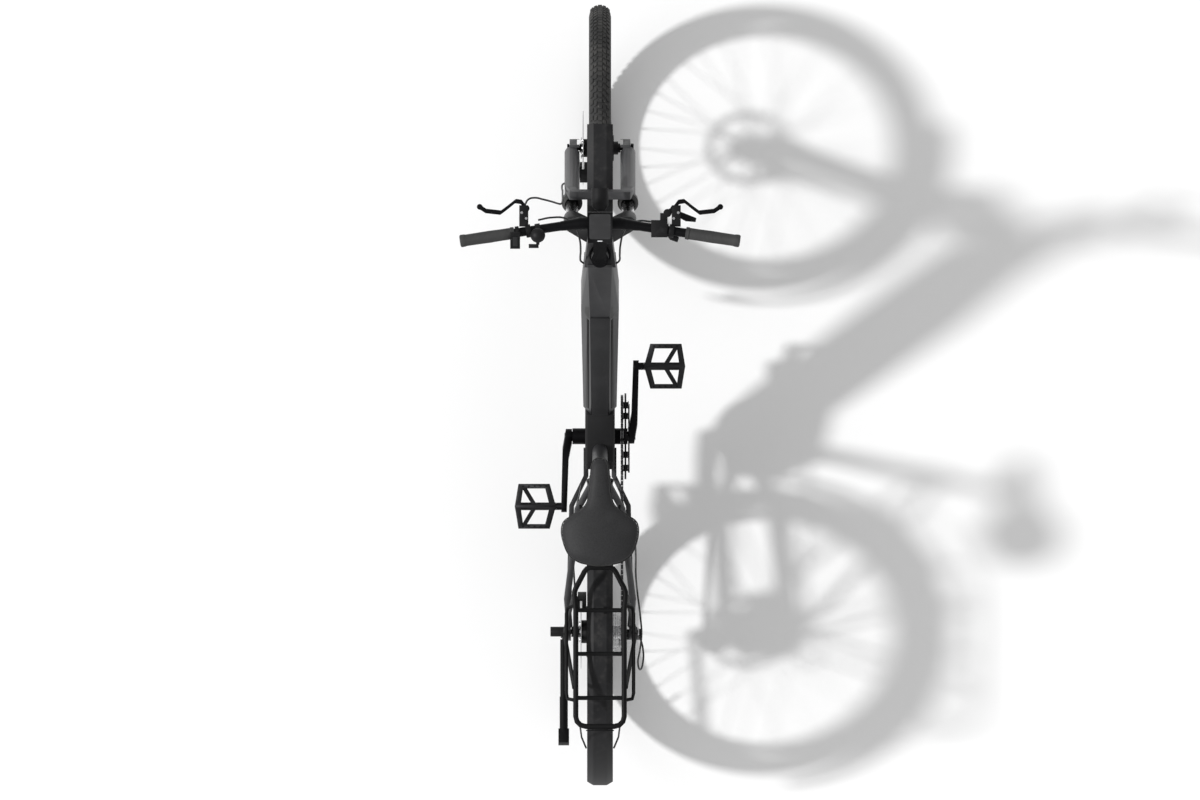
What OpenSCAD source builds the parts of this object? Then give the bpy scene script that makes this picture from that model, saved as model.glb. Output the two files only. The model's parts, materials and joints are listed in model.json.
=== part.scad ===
/* [Wheels] */
// Outer radius of the tyres
tyre_r = 348; // [330:1:418]
// Width of the tyres
tyre_w = 57; // [47:1:69]
// Distance between the two axles
wheelbase = 1174; // [980:1:1412]
// Gap from the tyre to the inside of a mudguard
guard_gap = 23; // [19:1:28]
// Overall width of a mudguard
guard_w = 62.6; // [52:0.1:76]
// Radius of the brake discs
disc_r = 90; // [75:1:108]
/* [Steering] */
// Angle of the steering axis from the ground
head_angle = 69; // [66:0.5:73]
// Distance of the front axle ahead of the steering axis
fork_offset = 46; // [38:1:56]
// Radius of the bright fork tubes
stanchion_r = 15; // [13:0.5:18]
// Radius of the lower fork legs
leg_r = 18.3; // [17.5:0.1:22]
// Width over the ends of the handlebar
bar_w = 680; // [566:1:816]
// Radius of the handlebar in its clamp
bar_clamp_r = 15.9; // [13:0.1:19]
// Radius of the handlebar at the grips
bar_end_r = 11.1; // [9.2:0.1:13.3]
/* [Drive] */
// Length of a crank between its two axles
crank_len = 170; // [142:1:204]
// Width of the threaded cup of the crank bearing
bb_w = 136; // [126:1:150]
// Teeth on the chainring
ring_teeth = 48; // [40:1:52]
// Teeth on the sprocket that the chain runs on
cog_teeth = 16; // [14:1:19]
// Distance of the chain from the middle of the bicycle
chain_line = 53.4; // [51:0.1:55]
/* [Saddle] */
// Radius of the seat post
post_r = 15.4; // [13:0.1:16]
// Height of the top of the saddle
saddle_top = 920; // [880:1:1000]
/* [Rack] */
// Height of the middle of the rack tubes
rack_z = 745; // [740:1:800]
// Radius of the rack tubes
rack_r = 6.5; // [5:0.1:8]
// Spacing of the two holes for a rear lamp
lamp_pitch = 50; // [42:1:60]
/* [Hidden] */
$fn = 48;
slip = 0.05;
play = 0.3;
pitch = 12.7;
caster = 90 - head_angle;
guard_in = tyre_r + guard_gap;
guard_out = guard_in + 7;
guard_t = 2.4;
rear_y = -(wheelbase + tyre_r - guard_out) / 2;
front_y = rear_y + wheelbase;
axle_z = tyre_r;
// The crank axle and the seat tube that rises from it
bb = [0, rear_y + 474.3, axle_z - 54];
seat_dir = [0, -0.2385, 0.9711];
seat_tube_len = 430;
seat_tube_r = 18.5;
seat_lean = atan2(-seat_dir.y, seat_dir.z);
// The rim and the spokes
rim_r = tyre_r - 50;
rim_half = 15;
spokes = 32;
// The fork, along its own axis
stay_x = tyre_w / 2 + 39.3;
leg_y = -8;
crown_z = tyre_r + 107;
crown_h = 42;
steerer_r = 14.3;
head_z0 = crown_z + crown_h + 9;
head_h = 92;
stem_z = head_z0 + head_h + 9;
stem_h = 30;
// The handlebar, with its straight middle and its swept ends
bar_y = fork_y(-fork_offset, stem_z + 15) + 83;
bar_z = fork_z(-fork_offset, stem_z + 15) + 101;
bar_flat = 50;
bar_taper = 95;
sweep = 0.1496;
rise = 0.035;
grip_len = 133;
grip_r = 15.5;
grip_x = bar_w / 2 - grip_len;
// The beam of the frame, as stations from the steering head to the crank
beam_top = [[318, 894], [190, 759], [-46, 463]];
beam_low = [[354, 736], [295, 671], [47, 385]];
beam_half = [38, 46, 40.5];
beam_flat = [29, 24.5, 20.5];
beam_wall = 3;
// The battery, which lies in the top of the beam
cell_r = 9.1;
cell_len = 65;
case_depth = 84;
case_len = norm(beam_top[1] - beam_top[2]);
beam_slope = atan2(beam_top[1].y - beam_top[2].y, beam_top[1].x - beam_top[2].x);
case_gap = 1.2;
// The chain, its sprockets and its two small pulleys
ring_r = pitch / 2 / sin(180 / ring_teeth);
cog_r = pitch / 2 / sin(180 / cog_teeth);
pulley_teeth = 11;
spider_r = ring_r - 17;
pulley_r = pitch / 2 / sin(180 / pulley_teeth);
guide_c = [rear_y - 6, axle_z - 101];
tension_c = [rear_y - 27, axle_z - 154];
chain_wheels = [[[bb.y, bb.z], -ring_r], [tension_c, -pulley_r], [guide_c, pulley_r],
    [[rear_y, axle_z], -cog_r]];
cogs = [14, 16, 18, 20, 22, 24, 32];
cog_step = 5;
// The saddle, as half-widths from its tail to its nose
saddle_half = [[-415, 30], [-403, 63], [-386, 82.5], [-357, 92], [-330, 97], [-307, 92.5],
    [-291, 73], [-274, 45], [-257, 33], [-218, 27], [-180, 21.5], [-160, 13], [-153, 5]];
saddle_shift = rear_y + 575;
// The rack, as the places of its bars behind the rear axle and ahead of it
rack_front = rear_y + 156;
rack_wide = rear_y + 99;
rack_back = rear_y - 230;
rack_x = 58.8;
rack_nose_x = 31.5;
pannier_x = 81.5;
pannier_drop = 14;
bar_ys = [rear_y + 52, rear_y - 54, rear_y - 161];
// The places where the stays meet the rear axle
drop_x = tyre_w / 2 + 42;
drop_t = 8;
stand_pivot = [-81, rear_y - 8, axle_z - 73];
clamp_x = 176;

function fork_y(y, z) = front_y + y * cos(caster) - z * sin(caster);
function fork_z(y, z) = axle_z + y * sin(caster) + z * cos(caster);
function seat_pt(s, back = 0) = bb + s * seat_dir + [0, -back * seat_dir.z, back * seat_dir.y];
function bar_back(x) = x < bar_flat ? 0 : (x - bar_flat) * sweep;
function bar_lift(x) = x < bar_flat ? 0 : (x - bar_flat) * rise;
function bar_pt(x) = [x, bar_y - bar_back(abs(x)), bar_z + bar_lift(abs(x))];

module rod(a, b, r, fn = 24) {
    v = b - a;
    translate(a) rotate([0, acos(v.z / norm(v)), atan2(v.y, v.x)]) cylinder(h = norm(v), r = r, $fn = fn);
}
module bent_rod(pts, r, fn = 24) {
    for (i = [0:len(pts) - 2]) rod(pts[i], pts[i + 1], r, fn);
    for (i = [1:len(pts) - 2]) translate(pts[i]) sphere(r = r + 0.2, $fn = fn);
}
module x_cyl(r, x0, x1, y = 0, z = 0) {
    translate([x0, y, z]) rotate([0, 90, 0]) cylinder(h = x1 - x0, r = r);
}
module x_ring(ro, ri, x0, x1, y = 0, z = 0) {
    difference() {
        x_cyl(ro, x0, x1, y, z);
        x_cyl(ri, x0 - 1, x1 + 1, y, z);
    }
}
module both() {
    children();
    mirror([1, 0, 0]) children();
}
module box(lo, hi) {
    translate(lo) cube(hi - lo);
}
module at_fork() {
    translate([0, front_y, axle_z]) rotate([caster, 0, 0]) children();
}
module at_front() {
    translate([0, front_y, axle_z]) children();
}
module at_rear() {
    translate([0, rear_y, axle_z]) children();
}
// A shape drawn in the Y and Z plane and given a width about the middle
module side_plate(pts, width, x = 0) {
    translate([x - width / 2, 0, 0]) rotate([90, 0, 90]) linear_extrude(width) polygon(pts);
}
// A tube swept along a route of points, which may close on itself
module swept(pts, r, sides = 8, closed = false) {
    n = len(pts);
    function at(i) = closed ? pts[(i + n) % n] : pts[min(max(i, 0), n - 1)];
    function dir(i) = let (v = at(i + 1) - at(i - 1)) v / norm(v);
    function side(i) = let (s = i > 0 ? side(i - 1) : cross(dir(0), closed ? [0, 0, 1] : [0.13, 0.21, 0.97]),
        t = s - (s * dir(i)) * dir(i)) t / norm(t);
    rings = [for (i = [0:n - 1]) let (d = dir(i), u = side(i), v = cross(u, d))
        for (k = [0:sides - 1]) pts[i] + r * (cos(360 * k / sides + 7) * u + sin(360 * k / sides + 7) * v)];
    walls = [for (i = [0:n - (closed ? 1 : 2)], k = [0:sides - 1])
        let (a = i * sides, b = ((i + 1) % n) * sides, k1 = (k + 1) % sides) [a + k, a + k1, b + k1, b + k]];
    ends = closed ? [] : [[for (k = [sides - 1:-1:0]) k], [for (k = [0:sides - 1]) (n - 1) * sides + k]];
    polyhedron(rings, concat(walls, ends));
}

// FRAME

function beam_outline(half, flat, depth) = [[-flat, 0], [flat, 0], [half, depth * 0.22], [half, depth * 0.86],
    [half - 9, depth], [9 - half, depth], [-half, depth * 0.86], [-half, depth * 0.22]];
// One slice across the beam, drawn inside its outline by the inset
module beam_slice(i, inset) {
    top = beam_top[i];
    low = beam_low[i];
    depth = norm(low - top);
    tilt = atan2(low.y - top.y, low.x - top.x);
    translate([0, top.x, top.y]) rotate([tilt, 0, 0]) translate([0, inset, 0])
        linear_extrude(0.02) polygon(beam_outline(beam_half[i] - inset, beam_flat[i] - inset * 0.6, depth - 2 * inset));
}
module beam_solid(inset) {
    for (i = [0:1]) hull() {
        beam_slice(i, inset);
        beam_slice(i + 1, inset);
    }
}
// The space for the battery: x across, y along the beam, z outwards from its top face
module in_battery() {
    translate([0, beam_top[2].x, beam_top[2].y]) rotate([beam_slope, 0, 0]) children();
}
module battery_space(gap) {
    in_battery() box([-20 - gap, -gap, -case_depth - gap], [20 + gap, case_len + gap * 2, 40]);
}
// The casing round the steering head, in front of the beam's first station
head_back = [fork_y(-fork_offset - 46, head_z0 + 2), fork_z(-fork_offset - 46, head_z0 + 2)];
head_front = [fork_y(31 - fork_offset, head_z0 + 1.5), fork_z(31 - fork_offset, head_z0 + 1.5)];
head_crest = [fork_y(31 - fork_offset, head_z0 + head_h - 6), fork_z(31 - fork_offset, head_z0 + head_h - 6)];
module head_casing() {
    side_plate([[312, 888], head_back, head_front, head_crest], 58);
    hull() {
        side_plate([[312, 884], head_back, [head_back.x + 1, head_back.y]], 76);
        side_plate([head_front, head_crest + [2, -6], head_front + [0.5, 0]], 58);
    }
}
module down_tube() color([0.17, 0.17, 0.18]) difference() {
    union() {
        beam_solid(0);
        head_casing();
    }
    difference() {
        beam_solid(beam_wall);
        in_battery() box([-60, case_len + 30, -200], [60, case_len + 34, 40]);
    }
    battery_space(case_gap);
    in_battery() both() box([27, 14, -11], [33, case_len - 14, 20]);
    head_hollow();
    bb_block(0.02);
}
module head_hollow() {
    at_fork() translate([0, -fork_offset, head_z0 - 60]) cylinder(h = 260, r = 26.5);
}
module head_tube() color([0.17, 0.17, 0.18]) at_fork() translate([0, -fork_offset, head_z0]) difference() {
    cylinder(h = head_h, r = 26.4);
    translate([0, 0, -1]) cylinder(h = head_h + 2, r = 19);
    translate([0, 0, -1]) cylinder(h = 9, r = 22.5);
    translate([0, 0, head_h - 8]) cylinder(h = 9, r = 22.5);
}
bb_profile = [[47, -91], [15, -53], [-52, 18], [-85, 34], [-125, 32], [-146, 10], [-172, -45],
    [-178, -108], [-160, -143], [-107, -143], [-46, -169]];
function bb_ring(inset) = [for (p = bb_profile) [p.x + (p.x > -80 ? -inset : inset), bb.z - p.y - (p.y < -50 ? inset : -inset)]];
module bb_block(grow) {
    hull() {
        side_plate(bb_ring(0), 62 + grow);
        side_plate(bb_ring(5), 72 + grow);
    }
}
module bottom_bracket_shell() color([0.15, 0.15, 0.16]) difference() {
    bb_block(0);
    x_cyl(19.6, -60, 60, bb.y, bb.z);
    side_plate([[-10, 360], [-70, 345], [-150, 360], [-150, 400], [-60, 410]], 46);
    x_cyl(4, -60, 60, bb.y + 18, bb.z + 82);
}
module seat_tube() color([0.17, 0.17, 0.18]) difference() {
    rod(seat_pt(120), seat_pt(seat_tube_len), seat_tube_r, 64);
    rod(seat_pt(100), seat_pt(seat_tube_len + 5), post_r + slip, 64);
    bb_block(0.02);
    beam_solid(0);
    translate(seat_pt(seat_tube_len - 30)) rotate([seat_lean, 0, 0]) box([-1.2, -40, 0], [1.2, 0, 60]);
}
// The run of one lower stay, seen from above
stay_plan = [[34, bb.y - 30], [34, bb.y - 98], [stay_x + 1, bb.y - 170], [stay_x + 3, bb.y - 240],
    [drop_x + 5, rear_y + 60], [drop_x + 5, rear_y + 26]];
module chain_stays() color([0.17, 0.17, 0.18]) difference() {
    union() {
        stand_mount();
        both() {
            stay_bar();
            dropout();
        }
    }
    x_cyl(6 + slip, -200, 200, rear_y, axle_z);
}
module stay_bar() difference() {
    translate([0, 0, bb.z - 12]) rotate([-4.2, 0, 0]) translate([0, 0, -8]) linear_extrude(34)
        polygon(concat([for (p = stay_plan) [p.x - 6, p.y]],
            [for (i = [len(stay_plan) - 1:-1:0]) [stay_plan[i].x + 6, stay_plan[i].y]]));
    bb_block(0.02);
}
module dropout() hull() {
    x_cyl(19, drop_x, drop_x + drop_t, rear_y, axle_z);
    x_cyl(15, drop_x, drop_x + drop_t, rear_y + 28, axle_z - 22);
}
module stand_mount() {
    difference() {
        hull() {
            x_cyl(12, -drop_x - drop_t, -drop_x, rear_y + 14, axle_z - 20);
            x_cyl(14, -drop_x - drop_t, -drop_x, stand_pivot.y, stand_pivot.z);
        }
        x_cyl(19.05, -drop_x - 20, -drop_x + 5, rear_y, axle_z);
    }
    x_cyl(5, stand_pivot.x - 14, -drop_x, stand_pivot.y, stand_pivot.z);
    x_cyl(8, stand_pivot.x - 14, stand_pivot.x - 11.3, stand_pivot.y, stand_pivot.z);
}
stay_dir = [0, 0.736, 0.677];
function stay_pt(s, x) = [x, rear_y, axle_z] + s * stay_dir;
module seat_stays() color([0.17, 0.17, 0.18]) difference() {
    both() bent_rod([stay_pt(20, drop_x + 4), stay_pt(108, stay_x + 12), stay_pt(215, stay_x + 2),
        stay_pt(405, stay_x - 14), stay_pt(486, 21)], 8);
    seat_tube_space();
    both() dropout_space();
}
module seat_tube_space() {
    rod(seat_pt(60), seat_pt(seat_tube_len + 40), seat_tube_r + 0.02, 64);
}
module dropout_space() hull() {
    x_cyl(19.05, drop_x - 5, drop_x + 20, rear_y, axle_z);
    x_cyl(15.05, drop_x - 5, drop_x + 20, rear_y + 28, axle_z - 22);
}
module frame_bearings() color([0.6, 0.6, 0.62]) {
    at_fork() translate([0, -fork_offset, head_z0]) {
        race(22.45, steerer_r + slip, 0, 7.95);
        race(22.45, steerer_r + slip, head_h - 7.95, head_h);
        race(26, steerer_r + slip, head_h + 0.1, head_h + 5);
    }
    both() x_ring(19.5, 12 + slip, 22, bb_w / 2 - 1, bb.y, bb.z);
}
module race(ro, ri, z0, z1) {
    translate([0, 0, z0]) difference() {
        cylinder(h = z1 - z0, r = ro);
        translate([0, 0, -1]) cylinder(h = z1 - z0 + 2, r = ri);
    }
}
module seat_clamp() color([0.1, 0.1, 0.1]) difference() {
    union() {
        rod(seat_pt(seat_tube_len - 22), seat_pt(seat_tube_len - 2), seat_tube_r + 5, 64);
        translate(seat_pt(seat_tube_len - 22)) rotate([seat_lean, 0, 0]) box([-9, -34, 1], [9, -16, 18]);
    }
    rod(seat_pt(seat_tube_len - 30), seat_pt(seat_tube_len + 5), seat_tube_r + slip, 64);
    translate(seat_pt(seat_tube_len - 30)) rotate([seat_lean, 0, 0]) box([-1.5, -60, 0], [1.5, 0, 60]);
}
module rear_axle() color([0.4, 0.4, 0.42]) {
    x_cyl(6, -drop_x - drop_t - 12, drop_x + drop_t + 12, rear_y, axle_z);
    both() x_cyl(12, drop_x + drop_t + 0.1, drop_x + drop_t + 12, rear_y, axle_z);
    x_ring(12, 6, -drop_x - drop_t - 42, -drop_x - drop_t - 12, rear_y, axle_z);
}
// A mudguard's channel, drawn from its middle line outwards
function guard_profile(out, half) = [[out - 9, -half], [out - 1, -half * 0.58], [out, -half * 0.5], [out, half * 0.5],
    [out - 1, half * 0.58], [out - 9, half]];
module mudguard(start, sweep_angle, proud = 0) {
    rotate([0, 90, 0]) rotate([0, 0, start]) rotate_extrude(angle = sweep_angle, $fn = 180) difference() {
        polygon(guard_profile(guard_out + proud, guard_w / 2 + proud));
        polygon(guard_profile(guard_out - guard_t, guard_w / 2 + 0.6));
        translate([guard_out - 30, -guard_w]) square([30 - 9 - guard_t, guard_w * 2]);
    }
}
cap_angle = 7;
module rear_fender() color([0.2, 0.2, 0.21]) {
    at_rear() {
        mudguard(95, 165.6);
        mudguard(95, cap_angle, 1.6);
    }
    fender_bracket();
}
module fender_bracket() {
    difference() {
        box([-9, bar_ys[0] - 9, axle_z + guard_out - 12], [9, bar_ys[0] + 9, rack_z - rack_r * 0.2]);
        at_rear() x_cyl(guard_out - guard_t, -20, 20);
        rod([-90, bar_ys[0], rack_z], [90, bar_ys[0], rack_z], rack_r * 0.8 + 0.02);
    }
}
strut_low = [drop_x + drop_t + 8, rear_y - 4, axle_z + 26];
// The deck's loop on the right side, from the front bar to the back bar
rack_side = [[0, rack_front], [rack_nose_x - 8, rack_front], [rack_nose_x, rack_front - 3], [rack_nose_x + 6, rack_front - 10],
    [rack_x - 1, rack_wide + 8], [rack_x + 3, rack_wide - 2], [rack_x + 3, rack_wide - 12], [rack_x, bar_ys[0]],
    [rack_x, rack_back + 24], [rack_x - 3, rack_back + 12], [rack_x - 12, rack_back + 3], [rack_x - 24, rack_back], [0, rack_back]];
function rack_loop() = let (n = len(rack_side)) concat([for (p = rack_side) [p.x, p.y, rack_z]],
    [for (i = [n - 2:-1:1]) [-rack_side[i].x, rack_side[i].y, rack_z]]);
module rear_rack() color([0.08, 0.08, 0.09]) {
    swept(rack_loop(), rack_r, 12, true);
    for (y = bar_ys) rod([-rack_x, y, rack_z], [rack_x, y, rack_z], rack_r * 0.8);
    both() {
        swept([[rack_x, bar_ys[0] + 12, rack_z], [pannier_x - 3, bar_ys[0] + 6, rack_z - pannier_drop],
            [pannier_x, bar_ys[0] - 8, rack_z - pannier_drop], [pannier_x, bar_ys[2] + 12, rack_z - pannier_drop],
            [pannier_x - 3, bar_ys[2] - 2, rack_z - pannier_drop], [rack_x, bar_ys[2] - 6, rack_z]], 4.5, 10);
        rod(strut_low, [rack_x + 4, rear_y + 92, rack_z - 3], 5);
        rod(strut_low, [rack_x + 4, rear_y - 136, rack_z - 3], 5);
        x_cyl(8.5, drop_x + drop_t + 0.1, strut_low.x + 5.6, strut_low.y, strut_low.z);
        rod([rack_nose_x - 4, rack_front, rack_z], [stay_x - 20, rear_y + 306, axle_z + 304], 4);
        swept([[rack_x - 10, rack_back + 4, rack_z], [rack_x - 14, rack_back - 26, axle_z + 290],
            [guard_w / 2 + 2.6, rack_back - 52, axle_z + 226]], 2.2, 8);
    }
    difference() {
        box([-34, rack_back - 11.5, rack_z - 34], [34, rack_back - 8.5, rack_z + 4]);
        for (x = [-1, 1]) translate([x * lamp_pitch / 2, rack_back + 20, rack_z - 18])
            rotate([90, 0, 0]) cylinder(h = 50, r = 2.75);
    }
    box([-20, rack_back - 9, rack_z - 3], [20, rack_back, rack_z + 3]);
}
module caliper_body(x, depth) {
    difference() {
        union() {
            box([x - 8, -21, -15], [x + 13, 21, 15]);
            x_cyl(12, x - 12, x - 7, 0, 0);
        }
        box([x - 2.2, -22, -40], [x + 2.2, 22, depth]);
    }
}
disc_x = -46;
module rear_caliper() color([0.06, 0.06, 0.07]) at_rear() {
    rotate([-65, 0, 0]) translate([0, 0, disc_r - 8]) caliper_body(disc_x, 9.5);
    box([-drop_x + 1.4, 66, -2], [disc_x - 5, 82, 28]);
}
// The chain's loop, moved outwards by an offset: straight runs between arcs about its wheels
function tangent(a, b, h) = let (d = b[0] - a[0], phi = atan2(d.y, d.x),
    left = phi + acos(((b[1] - h) - (a[1] - h)) / norm(d))) left;
function loop_arc(prev, w, next, h) = let (a0 = tangent(prev, w, h), a1 = tangent(w, next, h), rho = w[1] - h,
    turn = w[1] < 0 ? -((a0 - a1 + 720) % 360) : (a1 - a0 + 720) % 360, n = max(2, ceil(abs(turn) / 9)))
    [for (k = [0:n]) let (a = a0 + turn * k / n) w[0] - rho * [cos(a), sin(a)]];
function chain_loop(h) = let (w = chain_wheels, n = len(w))
    [for (i = [0:n - 1]) for (p = loop_arc(w[(i + n - 1) % n], w[i], w[(i + 1) % n], h)) p];
module chain_band(x0, x1, h) {
    translate([x0, 0, 0]) rotate([90, 0, 90]) linear_extrude(x1 - x0) difference() {
        polygon(chain_loop(h));
        polygon(chain_loop(-h));
    }
}
module chain() color([0.3, 0.3, 0.3]) {
    for (s = [-1, 1]) chain_band(chain_line + (s > 0 ? 1.6 : -3.2), chain_line + (s > 0 ? 3.2 : -1.6), 4);
    for (run = [[3, 0], [0, 1]]) {
        w0 = chain_wheels[run[0]];
        w1 = chain_wheels[run[1]];
        angle = tangent(w0, w1, 0);
        from = w0[0] - w0[1] * [cos(angle), sin(angle)];
        to = w1[0] - w1[1] * [cos(angle), sin(angle)];
        for (k = [4:floor(norm(to - from) / pitch) - 4]) let (p = from + (to - from) * k * pitch / norm(to - from))
            x_cyl(3.9, chain_line - 2, chain_line + 2, p.x, p.y);
    }
}
module derailleur() color([0.08, 0.08, 0.09]) difference() {
    union() {
        x_cyl(9, drop_x + drop_t + 0.1, drop_x + drop_t + 24, rear_y - 2, axle_z - 32);
        hull() {
            x_cyl(9, drop_x + drop_t + 6, drop_x + drop_t + 24, rear_y - 2, axle_z - 32);
            x_cyl(10, chain_line + 12, drop_x + drop_t + 22, guide_c.x - 4, guide_c.y + 12);
        }
        x_cyl(8, chain_line + 5, chain_line + 22, guide_c.x, guide_c.y);
        for (x = [chain_line - 8, chain_line + 5]) hull() {
            x_cyl(9, x, x + 2.4, guide_c.x, guide_c.y);
            x_cyl(9, x, x + 2.4, tension_c.x, tension_c.y);
        }
        for (c = [guide_c, tension_c]) x_cyl(2.5, chain_line - 7, chain_line + 6, c.x, c.y);
        box([drop_x, rear_y - 14, axle_z - 44], [drop_x + drop_t, rear_y + 12, axle_z - 10]);
    }
    dropout_space();
}
shift_route = [[drop_x + drop_t + 18, rear_y - 12, axle_z - 34], [104, rear_y - 40, axle_z - 38], [104, rear_y - 76, axle_z - 18],
    [97, rear_y - 92, axle_z + 8], [92, rear_y - 74, axle_z + 28], [97, rear_y - 44, axle_z + 32], [101, rear_y - 4, axle_z + 20], [98, rear_y + 36, axle_z + 6],
    [88, rear_y + 120, axle_z - 6], [82, bb.y - 240, bb.z + 40], [58, bb.y - 172, bb.z + 44], [44, bb.y - 110, bb.z + 46]];
brake_route = [[-58, rear_y + 60, axle_z + 69.2], [-62, rear_y + 120, axle_z + 50], [-66, rear_y + 220, axle_z + 16],
    [-60, bb.y - 190, bb.z + 46], [-46, bb.y - 120, bb.z + 48]];
module rear_cables() color([0.03, 0.03, 0.03]) {
    swept(shift_route, 2.4);
    swept(brake_route, 2.4);
}

// BATTERY

module battery_case() color([0.12, 0.12, 0.13]) in_battery() difference() {
    union() {
        box([-20, 0, -case_depth], [20, case_len, 0.6]);
        translate([0, 0, 0.4]) linear_extrude(2.2) polygon([[-19.2, 0.6], [19.2, 0.6], [24, case_len - 0.6], [-24, case_len - 0.6]]);
    }
    box([-18.6, 4, -case_depth + 3], [18.6, case_len - 12, -4]);
    rotate([90, 0, 90]) translate([0, 0, -30]) linear_extrude(60)
        polygon([[case_len + 1, -28], [case_len + 1, -case_depth - 1], [case_len - 12, -case_depth - 1]]);
}
module battery_cells() color([0.2, 0.5, 0.35]) in_battery()
    for (k = [0:4], i = [-0.5, 0.5], j = [0:3])
        translate([i * 18.4, 6 + k * (cell_len + 1), -14 - j * 18.6]) rotate([-90, 0, 0]) cylinder(h = cell_len, r = cell_r - 0.05);

// SADDLE

module seatpost() color([0.5, 0.5, 0.52]) {
    post_end = (saddle_top - 62 - bb.z) / seat_dir.z;
    difference() {
        rod(seat_pt(300), seat_pt(post_end), post_r, 64);
        rod(seat_pt(295), seat_pt(post_end - 30), post_r - 2.5, 48);
    }
    translate(seat_pt(post_end)) {
        box([-17, -24, -4], [17, 26, 6.9]);
        box([-27, -18, 15.2], [27, 20, 19]);
        rod([0, 1, 0], [0, 1, 24], 3.5);
    }
}
function rail_z() = saddle_top - 62 + 11;
module rail_pair(r) {
    base = seat_pt((saddle_top - 62 - bb.z) / seat_dir.z).y;
    both() bent_rod([[30, base - 112, rail_z() + 22], [24, base - 72, rail_z()], [22, base + 40, rail_z()],
        [8, base + 84, rail_z() + 26]], r);
}
module saddle_rails() color([0.55, 0.55, 0.57]) rail_pair(3.9);
module saddle() color([0.07, 0.07, 0.07]) translate([0, saddle_shift, saddle_top]) difference() {
    intersection() {
        translate([0, 0, -60]) linear_extrude(70) polygon(concat([for (p = saddle_half) [p.y, p.x]],
            [for (i = [len(saddle_half) - 1:-1:0]) [-saddle_half[i].y, saddle_half[i].x]]));
        translate([-110, 0, 0]) rotate([90, 0, 90]) linear_extrude(220)
            polygon([[-416, -14], [-386, 0], [-330, 0], [-274, -5], [-218, -8], [-180, -10], [-152, -18],
                [-152, -26], [-230, -36], [-330, -44], [-416, -40]]);
        rotate([90, 0, 0]) translate([0, 0, 140]) linear_extrude(290)
            polygon([[-98, -16], [-70, -4], [-30, 0], [30, 0], [70, -4], [98, -16], [98, -60], [-98, -60]]);
    }
    translate([0, -saddle_shift, -saddle_top]) rail_pair(4.2);
}

// KICKSTAND

stand_len = 262;
stand_gap = -drop_x - drop_t - play - stand_pivot.x;
module kickstand_leg() color([0.08, 0.08, 0.09]) translate(stand_pivot) {
    difference() {
        x_cyl(13, -11, stand_gap);
        x_cyl(5 + slip, -12, 4);
    }
    rotate([-4, 0, 0]) {
        translate([-7, -11, 0]) rotate([90, 0, 0]) difference() {
            cylinder(h = stand_len - 40, r = 8.5);
            translate([0, 0, 30]) cylinder(h = 60, r = 4);
        }
        translate([-7, -150, 0]) rotate([90, 0, 0]) cylinder(h = stand_len - 178, r = 10);
        side_plate([[-stand_len + 34, -10], [-stand_len + 34, 9], [-stand_len, 15], [-stand_len - 6, -12]], 26, -7);
    }
}

// FORK AND HANDLEBAR

module fork_crown() color([0.14, 0.14, 0.15]) at_fork() difference() {
    union() {
        for (s = [-1, 1]) {
            hull() {
                translate([s * (stay_x - 0), leg_y, crown_z]) cylinder(h = crown_h, r = stanchion_r + 5.5, $fn = 32);
                translate([0, -fork_offset, crown_z + 6]) cylinder(h = crown_h - 6, r = 25, $fn = 32);
            }
            translate([s * stay_x, leg_y, 205]) cylinder(h = crown_z - 200, r = stanchion_r);
        }
        translate([0, -fork_offset, crown_z + crown_h - 1]) cylinder(h = 9.5, r = 22);
        translate([0, -fork_offset, crown_z + crown_h]) cylinder(h = stem_z + stem_h - crown_z - crown_h - 1, r = steerer_r);
    }
    translate([0, -fork_offset, crown_z - 5]) cylinder(h = stem_z + stem_h - crown_z + 20, r = steerer_r - 2.5);
    for (s = [-1, 1]) translate([s * stay_x, leg_y, 200]) cylinder(h = crown_z + crown_h - 210, r = stanchion_r - 2.5);
}
module stem() color([0.1, 0.1, 0.11]) difference() {
    clamp = [0, fork_y(-fork_offset, stem_z + 15), fork_z(-fork_offset, stem_z + 15)];
    union() {
        at_fork() translate([0, -fork_offset, stem_z]) cylinder(h = stem_h, r = 21);
        hull() {
            translate(clamp) rotate([caster, 0, 0]) box([-15, -10, -12], [15, 20, 14]);
            translate([0, bar_y, bar_z]) box([-17, -24, -20], [17, -4, 8]);
        }
        x_cyl(bar_clamp_r + 6, -21, 21, bar_y, bar_z);
        at_fork() translate([-12, -fork_offset - 11, stem_z + stem_h]) cube([24, 22, 5]);
    }
    at_fork() translate([0, -fork_offset, stem_z - 5]) cylinder(h = stem_h + 4.9, r = steerer_r + slip);
    x_cyl(bar_clamp_r + slip, -30, 30, bar_y, bar_z);
}
module handlebar() color([0.05, 0.05, 0.05]) difference() {
    union() {
        x_cyl(bar_clamp_r, -bar_flat, bar_flat, bar_y, bar_z);
        both() {
            bar_cone(bar_flat - 5, bar_taper, bar_clamp_r - 0.4, bar_end_r + 0.5);
            rod(bar_pt(bar_taper - 8), bar_pt(bar_w / 2 - 3), bar_end_r, 48);
        }
    }
    both() rod(bar_pt(bar_taper + 40), bar_pt(bar_w / 2 + 3), bar_end_r - 2.2, 32);
}
module bar_cone(x0, x1, r0, r1) {
    a = bar_pt(x0);
    v = bar_pt(x1) - a;
    translate(a) rotate([0, acos(v.z / norm(v)), atan2(v.y, v.x)]) cylinder(h = norm(v), r1 = r0, r2 = r1);
}
module grip() difference() {
    rod(bar_pt(grip_x), bar_pt(bar_w / 2), grip_r, 48);
    rod(bar_pt(grip_x - 5), bar_pt(bar_w / 2 - 2.9), bar_end_r + 0.02, 48);
}
module right_grip() color([0.12, 0.12, 0.12]) grip();
module left_grip() color([0.12, 0.12, 0.12]) mirror([1, 0, 0]) grip();
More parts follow.
